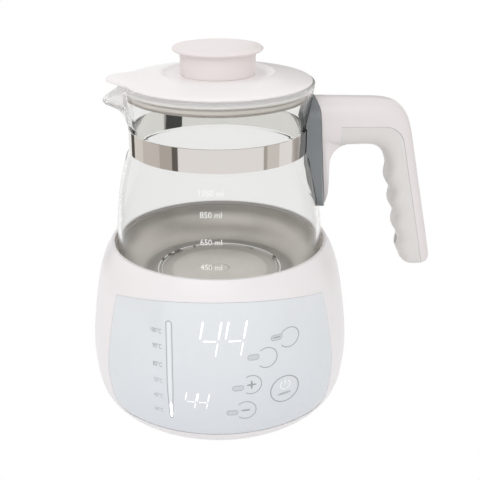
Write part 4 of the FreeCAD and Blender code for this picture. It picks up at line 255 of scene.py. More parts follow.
def joined(parts):
    """Several sets of points and faces as one."""
    points, faces, start = [], [], 0
    for p, f in parts:
        points.append(p)
        faces += [[int(k) + start for k in q] for q in f]
        start += len(p)
    return np.concatenate(points), faces


def straight(start, end, count=5):
    """Evenly spaced points from start to end."""
    return np.linspace(start, end, count)


def four(style, origin_x):
    """The strokes of a seven-segment figure 4 that leans to the right. Each runs between two
    places, given as shares of the figure's width and height. Its width is a share of the bar's,
    and thins along it to a second share."""
    height = style["height"]
    gap = style["bar"] * BAR_GAP / height

    def at(across, up):
        return (origin_x + across * style["width"] + up * height * DIGIT_LEAN, style["z"] + up * height)

    bars = [
        (at(0, 1.0), at(0, DIGIT_MIDDLE + gap), 1.0, 0.6),
        (at(0.17, DIGIT_MIDDLE), at(0.9, DIGIT_MIDDLE), 0.7, 0.9),
        (at(1, 1.0), at(1, DIGIT_MIDDLE + gap), 1.0, 0.7),
        (at(1, DIGIT_MIDDLE - gap), at(1, 0.0), 0.7, 0.5),
    ]
    return [stroke(straight(start, end, 9), style["bar"] * share, BAR_ENDS, thinning)
            for start, end, share, thinning in bars]


def lit_film():
    """A diffusing film lit from behind by white light-emitting diodes: an even glow."""
    material, tree, shader = new_material("display_light")
    shader.inputs["Base Color"].default_value = linear(FILM_WHITE)
    shader.inputs["Emission Color"].default_value = linear(LIT_WHITE)
    shader.inputs["Emission Strength"].default_value = GLOW_STRENGTH
    shader.inputs["Roughness"].default_value = 0.3
    place = add(tree, "ShaderNodeTexCoord", {})
    film = add(tree, "ShaderNodeTexNoise", {"Scale": 1000 / FILM_GRAIN_MM},
               [("Vector", place.outputs["Object"])])
    dents = add(tree, "ShaderNodeBump", {"Strength": 0.05, "Distance": FILM_GRAIN_DEPTH},
                [("Height", film.outputs["Fac"])])
    tree.links.new(dents.outputs["Normal"], shader.inputs["Normal"])
    return material


def laid(name, parts, material, slot, lift=LIFT):
    """One piece from flat shapes given as x, z points and faces, laid on the panel."""
    flat, faces = joined(parts)
    return piece(name, on_panel(flat[:, 0], flat[:, 1], lift), faces, material, "base", slot)


glow = lit_film()
for figures, style in (("main_figures", MAIN_DIGIT), ("small_figures", SMALL_DIGIT)):
    laid(figures, four(style, style["x"]) + four(style, style["x"] + style["pitch"]), glow,
         "display_white")


# Temperature column: a tall outline screen-printed in grey round a white strip, whose lowest part
# is lit from behind, with the temperatures of its marks to the left.

PRINT_GREY = "#9EA2A5"
FAINT_GREY = "#B4B8BC"
INK_MOTTLE_MM = 1.2
INK_IOR = 1.5
TUBE_X = -0.0284
TUBE_TOP_Z = 0.0847
TUBE_LOW_Z = 0.0245
TUBE_WIDTH = 0.0036
TUBE_CORNER = 0.00179
TUBE_STEP = 0.002
TUBE_LINE = 0.00035
# Below this height the outline narrows by a share and shifts towards the handle.
TAPER_TOP_Z = 0.045
TAPER_LENGTH = 0.02
TAPER_SHARE = 0.45
TAPER_SHIFT = 0.0005
STRIP_TOP_Z = 0.0835
STRIP_WIDTH = 0.0019
LIT_TOP = (-0.0283, 0.0355)
LIT_LOW = (-0.0280, 0.0253)
LIT_WIDTH = 0.0016
# Each mark's height, its lettering and whether it is printed faintly.
SCALE_MARKS = ((0.0778, "100°C", 0), (0.0689, "90°C", 0), (0.0582, "85°C", 0),
               (0.0484, "70°C", 1), (0.0387, "45°C", 1), (0.0288, "40°C", 1))
SCALE_RIGHT_X = -0.0326
SCALE_LETTER = 0.0027
FONT_PER_LETTER = 1.4


def printed(name, colour, paler):
    """Screen-printed ink: flat and even, with the slight mottling of a thin film of ink."""
    material, tree, shader = new_material(name)
    place = add(tree, "ShaderNodeTexCoord", {})
    ink = add(tree, "ShaderNodeTexNoise", {"Scale": 1000 / INK_MOTTLE_MM, "Detail": 2.0},
              [("Vector", place.outputs["Object"])])
    tint = add(tree, "ShaderNodeValToRGB", {}, [("Fac", ink.outputs["Fac"])])
    tint.color_ramp.elements[0].color = linear(colour)
    tint.color_ramp.elements[1].color = linear(paler)
    tree.links.new(tint.outputs["Color"], shader.inputs["Base Color"])
    shader.inputs["Roughness"].default_value = 0.25
    shader.inputs["IOR"].default_value = INK_IOR
    return material


def pill(width, height, corner, count=9):
    """The closed outline of a rounded rectangle about the origin, as x, z points."""
    turn = np.linspace(0, np.pi / 2, count)
    parts = []
    for k, (sx, sz) in enumerate(((1, 1), (-1, 1), (-1, -1), (1, -1))):
        centre = np.array([sx * (width / 2 - corner), sz * (height / 2 - corner)])
        angle = turn + k * np.pi / 2
        parts.append(centre + corner * np.stack([np.cos(angle), np.sin(angle)], -1))
    return np.concatenate(parts)


def dense(outline, step):
    """A closed outline with extra points so that no side is longer than a step."""
    ahead = np.roll(outline, -1, axis=0)
    parts = []
    for a, b in zip(outline, ahead):
        count = max(int(np.ceil(np.linalg.norm(b - a) / step)), 1)
        parts.append(a + (b - a) * np.linspace(0, 1, count, endpoint=False)[:, None])
    return np.concatenate(parts)


def outline_band(outline, width):
    """A band of a width along the inside of a closed outline. Returns x, z points and quads."""
    step = np.roll(outline, -1, axis=0) - np.roll(outline, 1, axis=0)
    inward = np.stack([-step[:, 1], step[:, 0]], -1)
    inward /= np.linalg.norm(inward, axis=1, keepdims=True)
    rows = np.concatenate([outline, outline + inward * width])
    return rows, grid_faces(2, len(outline), close_columns=True)[:, ::-1]


def filled(outline):
    """A closed outline filled by a fan of triangles from its middle, in three rings."""
    middle = outline.mean(axis=0)
    rings = [middle + (outline - middle) * k for k in (1.0, 0.66, 0.33)]
    n = len(outline)
    faces = [list(f) for f in grid_faces(3, n, close_columns=True)]
    faces += [[2 * n + i, 3 * n, 2 * n + (i + 1) % n] for i in range(n)]
    return np.concatenate(rings + [middle[None]]), [f[::-1] for f in faces]


def words(name, text, size, x, z, material, slot, align="RIGHT", place_on=on_panel, narrow=0.68):
    """A line of plain lettering, made a mesh, narrowed and laid on a curved surface."""
    curve = bpy.data.curves.new(name, "FONT")
    curve.body = text
    curve.size = size * FONT_PER_LETTER
    curve.align_x = align
    curve.resolution_u = 3
    shown = placed(name, curve)
    bpy.context.view_layer.update()
    mesh = bpy.data.meshes.new_from_object(shown)
    flat = np.empty(len(mesh.vertices) * 3)
    mesh.vertices.foreach_get("co", flat)
    flat = flat.reshape(-1, 3)
    faces = [list(p.vertices) for p in mesh.polygons]
    bpy.data.objects.remove(shown)
    bpy.data.meshes.remove(mesh)
    points = place_on(flat[:, 0] * narrow + x, flat[:, 1] + z)
    return piece(name, points, faces, material, "base", slot, smooth=False)


def tapered(outline):
    """The column's outline, drawn in towards its foot: below a height its width shrinks evenly
    to a share of itself, and its middle line shifts a little."""
    narrowed = 1 - TAPER_SHARE * np.clip((TAPER_TOP_Z - outline[:, 1]) / TAPER_LENGTH, 0, 1)
    x = TUBE_X + TAPER_SHIFT * (1 - narrowed) + (outline[:, 0] - TUBE_X) * narrowed
    return np.stack([x, outline[:, 1]], -1)


ink = printed("ink_grey", PRINT_GREY, "#A6AAAD")
faint_ink = printed("ink_faint_grey", FAINT_GREY, "#BDC1C4")
strip_ink = printed("ink_white", "#E6E9ED", "#EBEEF1")

tube_outline = dense(pill(TUBE_WIDTH, TUBE_TOP_Z - TUBE_LOW_Z, TUBE_CORNER), TUBE_STEP)
tube_outline = tapered(tube_outline + np.array([TUBE_X, (TUBE_TOP_Z + TUBE_LOW_Z) / 2]))
strip_path = straight((TUBE_X, STRIP_TOP_Z), (TUBE_X, LIT_TOP[1]), 20)
laid("column_outline", [outline_band(tube_outline, TUBE_LINE)], ink, "panel_window")
laid("column_strip", [stroke(strip_path, STRIP_WIDTH)], strip_ink, "panel_window")
laid("column_light", [stroke(straight(LIT_TOP, LIT_LOW, 8), LIT_WIDTH)], glow, "display_white")
for i, (mark_z, mark_text, faint) in enumerate(SCALE_MARKS):
    words("scale_mark_%d" % i, mark_text, SCALE_LETTER, SCALE_RIGHT_X, mark_z - SCALE_LETTER / 2,
          faint_ink if faint else ink, "panel_window")


# Touch keys: grey rings screen-printed over the pads behind the panel, each with a small plain
# plate to its left, and the plus, minus and power signs.

KEY_LINE = 0.00042
# The middle's x and z and the radius of each ring, and the angles between which it is drawn.
TIMER_KEY = (0.0387, 0.0721, 0.0056, -145, 148)
WARM_KEY = (0.0259, 0.0633, 0.0058, -138, 132)
PLUS_KEY = (0.0173, 0.0484, 0.0056, -125, 125)
MINUS_KEY = (0.0141, 0.0321, 0.0058, -135, 138)
POWER_KEY = (0.0364, 0.0413, 0.0082)
POWER_KEY_LINE = KEY_LINE * 1.3
POWER_RING = (0.0366, 0.0441, 0.0028, 125, 415)
POWER_BAR = ((0.0366, 0.0477), (0.0366, 0.0439))
POWER_SIGN_LINE = 0.0006
POWER_PLATE = ((0.0324, 0.0384), (0.0400, 0.0387))
POWER_PLATE_WIDTH = 0.0014
# The plates' middles, and the width, height and corner of their frame and of their filling.
PLATES = ((0.0314, 0.0738), (0.0183, 0.0647), (0.0097, 0.0470), (0.0065, 0.0310))
PLATE_FRAME = (0.0066, 0.0034, 0.0016)
PLATE_FILLING = (0.0054, 0.0023, 0.0011)
PLATE_STEP = 0.001
# The two bars of the plus, the minus and the bar on the first plate: both ends and the width.
SIGN_BARS = (
    ((0.0147, 0.0483), (0.0199, 0.0485), 0.0010),
    ((0.0173, 0.0509), (0.0173, 0.0459), 0.0010),
    ((0.0116, 0.0320), (0.0166, 0.0322), 0.0010),
    ((0.0293, 0.0738), (0.0335, 0.0740), 0.0007),
)
SIGN_LIFT = LIFT * 1.4


def ring_path(x, z, radius, start=0.0, end=360.0, count=49):
    """Points round a circle from one angle to another, counted from +X towards +Z."""
    turn = np.radians(np.linspace(start, end, count))
    return np.stack([x + radius * np.cos(turn), z + radius * np.sin(turn)], -1)


plate_ink = printed("ink_plate_grey", "#CBCFD3", "#D2D6DA")
power_ink = printed("ink_bright_white", "#F6F8FA", "#FAFBFC")

key_rings = [stroke(ring_path(*key), KEY_LINE, 0.3)
             for key in (TIMER_KEY, WARM_KEY, PLUS_KEY, MINUS_KEY)]
key_rings.append(stroke(ring_path(*POWER_KEY), POWER_KEY_LINE, 1.0))
plate_frames = [outline_band(dense(pill(*PLATE_FRAME) + np.array(middle), PLATE_STEP), KEY_LINE)
                for middle in PLATES]
plate_fillings = [filled(pill(*PLATE_FILLING) + np.array(middle)) for middle in PLATES]
sign_bars = [stroke(straight(start, end), width) for start, end, width in SIGN_BARS]
power_sign = [stroke(ring_path(*POWER_RING), POWER_SIGN_LINE),
              stroke(straight(*POWER_BAR), POWER_SIGN_LINE)]
laid("key_rings", key_rings, ink, "panel_window")
laid("key_plates", plate_frames, faint_ink, "panel_window")
laid("key_plate_fills", plate_fillings, plate_ink, "panel_window")
laid("key_signs", sign_bars, ink, "panel_window", SIGN_LIFT)
laid("power_sign", power_sign, power_ink, "panel_window")
laid("power_plate", [stroke(straight(*POWER_PLATE), POWER_PLATE_WIDTH)], faint_ink, "panel_window")


# Heating dish. Pressed from one sheet of stainless steel and polished on a turning spindle, which
# leaves fine rings round its axis. Its rolled flange is held up under the housing's lip. The cap of
# the sprung probe in its middle is of the same steel.

STEEL_TINT = "#F9F3ED"
DISH_ROUGHNESS = 0.36
DISH_METAL = 0.48
# Real turning lines are finer: they are drawn coarser so that they show.
TURNING_PITCH_MM = 0.9
TURNING_DEPTH = 0.00003
SMEAR_MM = 30.0
SMEAR_SHADE = 0.88
# Radii and how bright the steel's colour is made there: the middle, a darker ring, a painted
# shadow of the jug's foot and the wall.
DISH_RINGS_AND_FOOT_SHADOW = ((0.0, 0.95), (0.0285, 0.95), (0.0300, 0.74), (0.0385, 0.74), (0.0405, 0.60),
              (0.0445, 0.62), (0.0480, 1.0), (0.0640, 1.0))


def turned_steel(name, tint, roughness, pitch_mm=TURNING_PITCH_MM, strength=0.05, metal=1.0):
    """Stainless steel polished while turning: fine rings about the axis draw highlights across
    them, and the polishing leaves its gloss and its shade a little patchy."""
    material, tree, shader = new_material(name)
    place = add(tree, "ShaderNodeTexCoord", {})
    apart = add(tree, "ShaderNodeSeparateXYZ", {}, [("Vector", place.outputs["Object"])])
    flat = add(tree, "ShaderNodeCombineXYZ", {}, [("X", apart.outputs["X"]), ("Y", apart.outputs["Y"])])
    radius = add(tree, "ShaderNodeVectorMath", {"operation": "LENGTH", "name": "radius"},
                 [(0, flat.outputs["Vector"])])
    rings = add(tree, "ShaderNodeCombineXYZ", {},
                [("X", radius.outputs["Value"]), ("Y", apart.outputs["Z"])])
    lines = add(tree, "ShaderNodeTexNoise", {"Scale": 1000 / pitch_mm, "Detail": 4.0},
                [("Vector", rings.outputs["Vector"])])
    smear = add(tree, "ShaderNodeTexNoise", {"Scale": 1000 / SMEAR_MM, "Detail": 2.0},
                [("Vector", place.outputs["Object"])])
    gloss = add(tree, "ShaderNodeMapRange", {"To Min": roughness * 0.7, "To Max": roughness * 1.5},
                [("Value", smear.outputs["Fac"])])
    tree.links.new(gloss.outputs["Result"], shader.inputs["Roughness"])
    dents = add(tree, "ShaderNodeBump", {"Strength": strength, "Distance": TURNING_DEPTH},
                [("Height", lines.outputs["Fac"])])
    tree.links.new(dents.outputs["Normal"], shader.inputs["Normal"])
    patches = add(tree, "ShaderNodeValToRGB", {}, [("Fac", smear.outputs["Fac"])])
    patches.color_ramp.elements[0].position = 0.35
    patches.color_ramp.elements[0].color = [SMEAR_SHADE * c for c in linear(tint)[:3]] + [1.0]
    patches.color_ramp.elements[1].position = 0.62
    patches.color_ramp.elements[1].color = linear(tint)
    tree.links.new(patches.outputs["Color"], shader.inputs["Base Color"])
    shader.inputs["Metallic"].default_value = metal
    return material


def dish_steel():
    """The dish's steel, its colour darkened in rings about the axis, one of them a painted shadow
    of the jug's foot. It is given as only partly metal, because as full metal the deep bowl comes
    out darker than the real one."""
    material = turned_steel("stainless_steel_polished", STEEL_TINT, DISH_ROUGHNESS, metal=DISH_METAL)
    tree = material.node_tree
    shader, radius = tree.nodes["Principled BSDF"], tree.nodes["radius"]
    patches = shader.inputs["Base Color"].links[0].from_socket
    reach = DISH_RINGS_AND_FOOT_SHADOW[-1][0]
    share = add(tree, "ShaderNodeMapRange", {"From Max": reach}, [("Value", radius.outputs["Value"])])
    rings = add(tree, "ShaderNodeValToRGB", {}, [("Fac", share.outputs["Result"])])
    ramp = rings.color_ramp.elements
    ramp[0].color = [DISH_RINGS_AND_FOOT_SHADOW[0][1]] * 3 + [1.0]
    ramp[1].color = [DISH_RINGS_AND_FOOT_SHADOW[-1][1]] * 3 + [1.0]
    for place, level in DISH_RINGS_AND_FOOT_SHADOW[1:-1]:
        ramp.new(place / reach).color = [level] * 3 + [1.0]
    # Painted shade: the colour is darkened ring by ring, the darkest ring a painted shadow of the jug's
    # foot.
    dimmed = add(tree, "ShaderNodeVectorMath", {"operation": "MULTIPLY"},
                 [(0, patches), (1, rings.outputs["Color"])])
    tree.links.new(dimmed.outputs["Vector"], shader.inputs["Base Color"])
    return material


polished_steel = dish_steel()
finish_node("heating_dish", polished_steel)
finish_node("temperature_probe", polished_steel)


# Glass jug. Borosilicate glass blown in a mould: an even wall with a rounded, fire-polished edge,
# drawn out to a spout on one side. It stands in the dish on its flat bottom.

# The body's sizes. Its side runs through radius and height pairs, between its two end directions.
JUG_BOTTOM_Z = 0.0852
JUG_FLOOR = 0.003
JUG_WALL = 0.0022
JUG_RADIUS = 0.0615
JUG_CORNER = 0.017
JUG_SIDE = ((0.0615, 0.1130), (0.0603, 0.1290), (0.0582, 0.1440), (0.0552, 0.1560),
            (0.0536, 0.1614), (0.0514, 0.1639))
SIDE_START = (0, 1)
SIDE_END = (-0.74, 0.67)
FLOOR_POINTS = 14
CORNER_POINTS = 16
SIDE_POINTS = 40
NECK_POINTS = 8
# The neck and the flared mouth.
NECK_RADIUS = 0.0514
NECK_LOW_Z = 0.1652
MOUTH_LOW_Z = 0.1774
MOUTH_TOP_Z = 0.2028
MOUTH_TOP_RADIUS = 0.05552
RIM_ROUNDING = 0.4
# The spout: how far it stands out and the rim drops, and how much of it shows already low down.
SPOUT_REACH = 0.0125
SPOUT_FULL_Z = 0.1915
SPOUT_HALF_TURN = math.radians(25)
SPOUT_DROP = 0.0101
SPOUT_EARLY_SHARE = 0.22
SPOUT_INSIDE_RISE = 0.0018
# The edge given a pale haze, painted light in place of the glint of the rim and spout: the rim
# above one height, and the spout in front of its root.
PALE_EDGE_LOW_Z = 0.2000
SPOUT_ROOT_X = -0.0525
SPOUT_ROOT_Z = 0.1790
GLASS_WAVE_MM = 28.0
GLASS_WAVE_DEPTH = 0.0006
# Real borosilicate has an index of 1.47, at which the spout and rim came out black: it is lowered.
GLASS_IOR = 1.15


def curve_through(points, count, first, last):
    """A smooth curve through points: a cubic in each span with shared slopes at the points,
    which are the mean of the spans beside them and the given slopes at the two ends."""
    p = np.asarray(points, float)
    t = np.concatenate([[0], np.cumsum(np.linalg.norm(np.diff(p, axis=0), axis=1))])
    span = np.diff(p, axis=0) / np.diff(t)[:, None]
    slope = np.vstack([first, (span[1:] + span[:-1]) / 2, last])
    at = np.linspace(0, t[-1], count)
    k = np.clip(np.searchsorted(t, at, side="right") - 1, 0, len(p) - 2)
    h = (t[k + 1] - t[k])[:, None]
    u = ((at - t[k]) / (t[k + 1] - t[k]))[:, None]
    return ((2 * u ** 3 - 3 * u ** 2 + 1) * p[k] + (u ** 3 - 2 * u ** 2 + u) * h * slope[k]
            + (-2 * u ** 3 + 3 * u ** 2) * p[k + 1] + (u ** 3 - u ** 2) * h * slope[k + 1])


def jug_profile(inset, floor):
    """Radius and height from the bottom's middle to the mouth's start, moved in by inset."""
    corner = JUG_CORNER - inset
    centre = np.array([JUG_RADIUS - JUG_CORNER, JUG_BOTTOM_Z + floor + corner])
    flat = np.stack([np.linspace(0, centre[0], FLOOR_POINTS, endpoint=False),
                     np.full(FLOOR_POINTS, JUG_BOTTOM_Z + floor)], -1)
    turn = np.linspace(-np.pi / 2, 0, CORNER_POINTS)
    bend = centre + corner * np.stack([np.cos(turn), np.sin(turn)], -1)
    side = curve_through(JUG_SIDE, SIDE_POINTS, SIDE_START, SIDE_END)
    run = np.gradient(side, axis=0)
    run /= np.linalg.norm(run, axis=1, keepdims=True)
    side = side + np.stack([-run[:, 1], run[:, 0]], -1) * inset
    neck = np.stack([np.full(NECK_POINTS, NECK_RADIUS - inset),
                     np.linspace(NECK_LOW_Z, MOUTH_LOW_Z, NECK_POINTS)], -1)
    return np.vstack([flat, bend, side, neck])


def spout_share(angle):
    """How much of the spout's reach shows at an angle about the axis: 1 on the spout's middle,
    falling like a raised cosine to nothing at its sides."""
    off = np.abs(np.angle(np.exp(1j * (angle - np.pi)))) / SPOUT_HALF_TURN
    return np.where(off < 1, np.cos(np.pi / 2 * np.minimum(off, 1)) ** 1.5, 0)


def mouth_radius(z, angle, inset, rise):
    """The flared mouth's radius plus the spout's bulge: of its reach, a small share shows early
    and the rest only near its top. The bulge starts higher by a rise, and the whole lies inset."""
    flare = NECK_RADIUS + (MOUTH_TOP_RADIUS - NECK_RADIUS) * np.clip(
        (z - MOUTH_LOW_Z) / (MOUTH_TOP_Z - MOUTH_LOW_Z), 0, 1)
    part = np.clip((z - rise - MOUTH_LOW_Z) / (SPOUT_FULL_Z - MOUTH_LOW_Z), 0, 1)
    bulge = SPOUT_REACH * (SPOUT_EARLY_SHARE * part ** 0.6 + (1 - SPOUT_EARLY_SHARE) * part ** 5)
    return flare - inset + bulge * spout_share(angle)


def rim_height(angle):
    """The rim's height at an angle: level, but cut down along a slope over the spout."""
    return MOUTH_TOP_Z - SPOUT_DROP * spout_share(angle) ** 0.7


def level_rings(profile, turns):
    """Round and level rings about the axis through radius and height pairs."""
    return [(np.full(turns, r), np.full(turns, z)) for r, z in profile]


def closed_skin(rings, angle, first_z, last_z, flipped=False):
    """A closed skin about the axis, through rings that are given as radii and heights at the same
    angles, from a pole on the axis to another. Its faces point to the left of the run from ring
    to ring, seen with the axis on the left, or to the right where it is flipped."""
    turns = len(angle)
    r, z = (np.stack(values) for values in zip(*rings))
    points = np.stack([r * np.cos(angle), r * np.sin(angle), z], -1).reshape(-1, 3)
    first, last, start = len(points), len(points) + 1, len(points) - turns
    points = np.vstack([points, [0, 0, first_z], [0, 0, last_z]])
    faces = grid_faces(len(rings), turns, close_columns=True).tolist()
    faces += [[first, i, (i + 1) % turns] for i in range(turns)]
    faces += [[last, start + (i + 1) % turns, start + i] for i in range(turns)]
    return points, [f[::-1] for f in faces] if flipped else faces


def jug_surface(turns=384):
    """The jug's closed skin: the outer profile turned about the axis, the mouth and spout, a
    rounded rim and the inner profile back down."""
    angle = np.linspace(0, 2 * np.pi, turns, endpoint=False)
    rows = level_rings(jug_profile(0.0, 0.0)[1:], turns)
    steps = np.linspace(0, 1, 26)[1:]
    top = rim_height(angle)
    for s in steps:
        z = MOUTH_LOW_Z + (top - MOUTH_LOW_Z) * s
        rows.append((mouth_radius(z, angle, 0.0, 0.0), z))
    rim_out = rows[-1][0]
    rim_in = mouth_radius(top, angle, JUG_WALL, SPOUT_INSIDE_RISE)
    middle, half = (rim_out + rim_in) / 2, (rim_out - rim_in) / 2
    for turn in np.radians([30, 60, 90, 120, 150]):
        rows.append((middle + half * np.cos(turn), top + JUG_WALL * RIM_ROUNDING * np.sin(turn)))
    for s in steps[::-1]:
        z = MOUTH_LOW_Z + (top - MOUTH_LOW_Z) * s
        rows.append((mouth_radius(z, angle, JUG_WALL, SPOUT_INSIDE_RISE), z))
    rows += level_rings(jug_profile(JUG_WALL, JUG_FLOOR)[:0:-1], turns)
    return closed_skin(rows, angle, JUG_BOTTOM_Z, JUG_BOTTOM_Z + JUG_FLOOR, flipped=True)


def blown_glass(name, colour, clearness):
    """Borosilicate glass: colourless and smooth, with the faint waviness of blowing. What it lacks
    in clearness shows as a pale haze."""
    material, tree, shader = new_material(name)
    shader.inputs["Base Color"].default_value = linear(colour)
    shader.inputs["Transmission Weight"].default_value = clearness
    shader.inputs["Roughness"].default_value = 0.0
    shader.inputs["IOR"].default_value = GLASS_IOR
    place = add(tree, "ShaderNodeTexCoord", {})
    wave = add(tree, "ShaderNodeTexNoise", {"Scale": 1000 / GLASS_WAVE_MM, "Detail": 1.0},
               [("Vector", place.outputs["Object"])])
    dents = add(tree, "ShaderNodeBump", {"Strength": 0.015, "Distance": GLASS_WAVE_DEPTH},
                [("Height", wave.outputs["Fac"])])
    tree.links.new(dents.outputs["Normal"], shader.inputs["Normal"])
    return material


clear_glass = blown_glass("borosilicate_glass", "#F5F5F4", clearness=0.988)
# The rim and spout take a less clear glass whose pale haze is painted light, standing in for the glint
# along their edges.
painted_pale_edge = blown_glass("borosilicate_glass_painted_pale_edge", "#FAF9F8", clearness=0.62)
jug = piece("jug_glass", *jug_surface(), clear_glass, "jug", "jug_glass")
jug.data.materials.append(painted_pale_edge)
centres = np.empty(len(jug.data.polygons) * 3)
jug.data.polygons.foreach_get("center", centres)
centre_x, _, centre_z = centres.reshape(-1, 3).T
on_rim = centre_z > PALE_EDGE_LOW_Z
on_spout = (centre_x < SPOUT_ROOT_X) & (centre_z > SPOUT_ROOT_Z)
jug.data.polygons.foreach_set("material_index", (on_rim | on_spout).astype(np.int32))
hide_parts("glass_jug")
# Clear glass lets the light through, which a traced shadow of it would not.
jug.visible_shadow = False


# Foot of the jug: a painted highlight. Two thin rings within the thickness of its floor, coloured
# as the bright glint that its rounded foot shows, broken by short dark gaps.

# Each ring's radius and half its thickness.
FOOT_GLINT_RINGS = ((0.0378, 0.0007), (0.0357, 0.0003))
FOOT_GLINT_RISE = 0.0010
FOOT_GLINT_GAP_MM = 6.0
FOOT_GLINT_BRIGHT = "#FCFBF9"
FOOT_GLINT_DARK = "#5A5752"


def painted_foot_glint():
    """Painted highlight of the jug's rounded foot: pale and glossy, broken by short dark gaps."""
    material, tree, shader = new_material("painted_foot_glint_glass")
    place = add(tree, "ShaderNodeTexCoord", {})
    breaks = add(tree, "ShaderNodeTexNoise", {"Scale": 1000 / FOOT_GLINT_GAP_MM, "Detail": 1.0},
                 [("Vector", place.outputs["Object"])])
    tint = add(tree, "ShaderNodeValToRGB", {}, [("Fac", breaks.outputs["Fac"])])
    tint.color_ramp.elements[0].position = 0.36
    tint.color_ramp.elements[0].color = linear(FOOT_GLINT_DARK)
    tint.color_ramp.elements[1].position = 0.41
    tint.color_ramp.elements[1].color = linear(FOOT_GLINT_BRIGHT)
    tree.links.new(tint.outputs["Color"], shader.inputs["Base Color"])
    shader.inputs["Roughness"].default_value = 0.12
    return material


def foot_glint_ring(radius, half, turns=144, around=8):
    """A thin ring of round section about the axis, within the thickness of the jug's floor."""
    turn = np.linspace(0, 2 * np.pi, turns, endpoint=False)[:, None]
    section = np.linspace(0, 2 * np.pi, around, endpoint=False)[None, :]
    r = radius + half * np.cos(section)
    z = JUG_BOTTOM_Z + FOOT_GLINT_RISE + half * np.sin(section) + 0 * turn
    points = np.stack([r * np.cos(turn), r * np.sin(turn), z], -1).reshape(-1, 3)
    return points, grid_faces(turns, around, True, True)


foot_points, foot_faces = joined([foot_glint_ring(radius, half) for radius, half in FOOT_GLINT_RINGS])
# Painted highlight: pale rings standing in for the glint of the jug's rounded foot.
piece("jug_foot_glint", foot_points, foot_faces, painted_foot_glint(), "jug", "jug_glass")


# Measures on the jug. White enamel lettering, screen-printed on the outside of the glass and then
# fired onto it.

ENAMEL_WHITE = "#F6F6F4"
ENAMEL_LIFT = 0.00005
MEASURES = ((0.1136, "450 ml"), (0.1279, "650 ml"), (0.1429, "850 ml"), (0.1543, "1050 ml"))
MEASURE_LETTER = 0.0033
MEASURE_X = -0.0044


def on_jug(x, z):
    """Points at x and z on the jug's outside, a hair above the glass."""
    side = jug_profile(0.0, 0.0)[FLOOR_POINTS + CORNER_POINTS - 2:]
    radius = np.interp(z, side[:, 1], side[:, 0]) + ENAMEL_LIFT
    return np.stack([x, -np.sqrt(radius ** 2 - x ** 2), z], -1)


enamel = printed("enamel_white", ENAMEL_WHITE, "#FAFAF8")
for i, (measure_z, measure) in enumerate(MEASURES):
    mark = words("measure_%d" % i, measure, MEASURE_LETTER, MEASURE_X, measure_z - MEASURE_LETTER / 2,
                 enamel, "jug_glass", align="CENTER", place_on=on_jug, narrow=0.95)
    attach(mark, "jug")


# Neck band. A strip of stainless steel, rolled and polished bright. Its ends are welded to a nut
# block inside the mount, which a screw pulls tight. Its inside, which lies on the glass, is
# coloured lighter than its outside.

BAND_OUTSIDE = "#DAD5D1"
BAND_INSIDE = "#FBFAF8"
BAND_ROUGHNESS = 0.05
ROLLING_PITCH_MM = 2.5
# Distances from the glass at which the inside's colour ends and the outside's begins.
INSIDE_ENDS = 0.0002
OUTSIDE_BEGINS = 0.0005


def rolled_band():
    """Bright rolled steel whose colour lightens from the band's outside to its inside."""
    material = turned_steel("stainless_steel_bright", BAND_OUTSIDE, BAND_ROUGHNESS,
                            pitch_mm=ROLLING_PITCH_MM, strength=0.03)
    tree = material.node_tree
    shader, radius = tree.nodes["Principled BSDF"], tree.nodes["radius"]
    side = add(tree, "ShaderNodeMapRange",
               {"From Min": NECK_RADIUS + INSIDE_ENDS, "From Max": NECK_RADIUS + OUTSIDE_BEGINS},
               [("Value", radius.outputs["Value"])])
    tint = add(tree, "ShaderNodeValToRGB", {}, [("Fac", side.outputs["Result"])])
    tint.color_ramp.elements[0].color = linear(BAND_INSIDE)
    tint.color_ramp.elements[1].color = linear(BAND_OUTSIDE)
    tree.links.new(tint.outputs["Color"], shader.inputs["Base Color"])
    return material


finish_node("neck_band", rolled_band())


# Handle. The saddle against the glass is moulded in grey polypropylene and screwed to the handle.
# The handle's shell and its finger grip are satin white ABS, screwed together, with a fine groove
# between them.

finish_node("handle_mount", moulded_plastic("polypropylene_grey", "#7F8385", "#777B7E", 0.36))
finish_node("handle_shell", moulded_plastic("abs_white_handle", "#E6E0E0", "#E2DCDB", 0.34))
finish_node("handle_grip", moulded_plastic("abs_white_grip", "#DEDBD8", "#DAD6D3", 0.36))


# Lid. A cover of white ABS with a beak over the spout, a plug of pale polypropylene under it, and a
# hollow knob that one screw pulls onto the cover.

LID_BOTTOM_Z = 0.2030
LID_EDGE_Z = 0.2042
LID_RADIUS = 0.0541
# Radius and height pairs along the turned top, and along the hollow underside.
LID_TOP = ((0.0, 0.2073), (0.0234, 0.2073), (0.0280, 0.20735), (0.0298, 0.2076), (0.0318, 0.2086),
           (0.0330, 0.20875), (0.0365, 0.2082), (0.0405, 0.2073), (0.0455, 0.20635), (0.0505, 0.2054),
           (0.0527, 0.2049), (0.0541, 0.2046), (0.0700, 0.2030))
LID_UNDER = ((0.0505, 0.2030), (0.0455, 0.20405), (0.0405, 0.2051), (0.0250, 0.2051),
             (0.0100, 0.2051))
LID_ROUNDING = 0.0019
LID_CHAMFER = 0.0003
LID_CROWDING = 0.7
# The beak's straight sides, and the rounding of its corners.
BEAK_REACH = 0.0640
BEAK_BACK = 0.0240
BEAK_BACK_HALF = 0.0310
BEAK_TIP_HALF = 0.0016
BEAK_SIDE_BLEND = 0.0008
BEAK_TIP_BLEND = 0.0010
# The ridge along the beak, from its tip to where it fades into the dome.
RIDGE_TOP_Z = 0.2073
RIDGE_LOW_Z = 0.2034
RIDGE_OVERLAP = 0.0006
RIDGE_BACK_FALL = 0.0007
RIDGE_TIP_FALL = 0.0021
RIDGE_END_X = -0.034
RIDGE_FADE = 0.008
RIDGE_BLEND = 0.0012
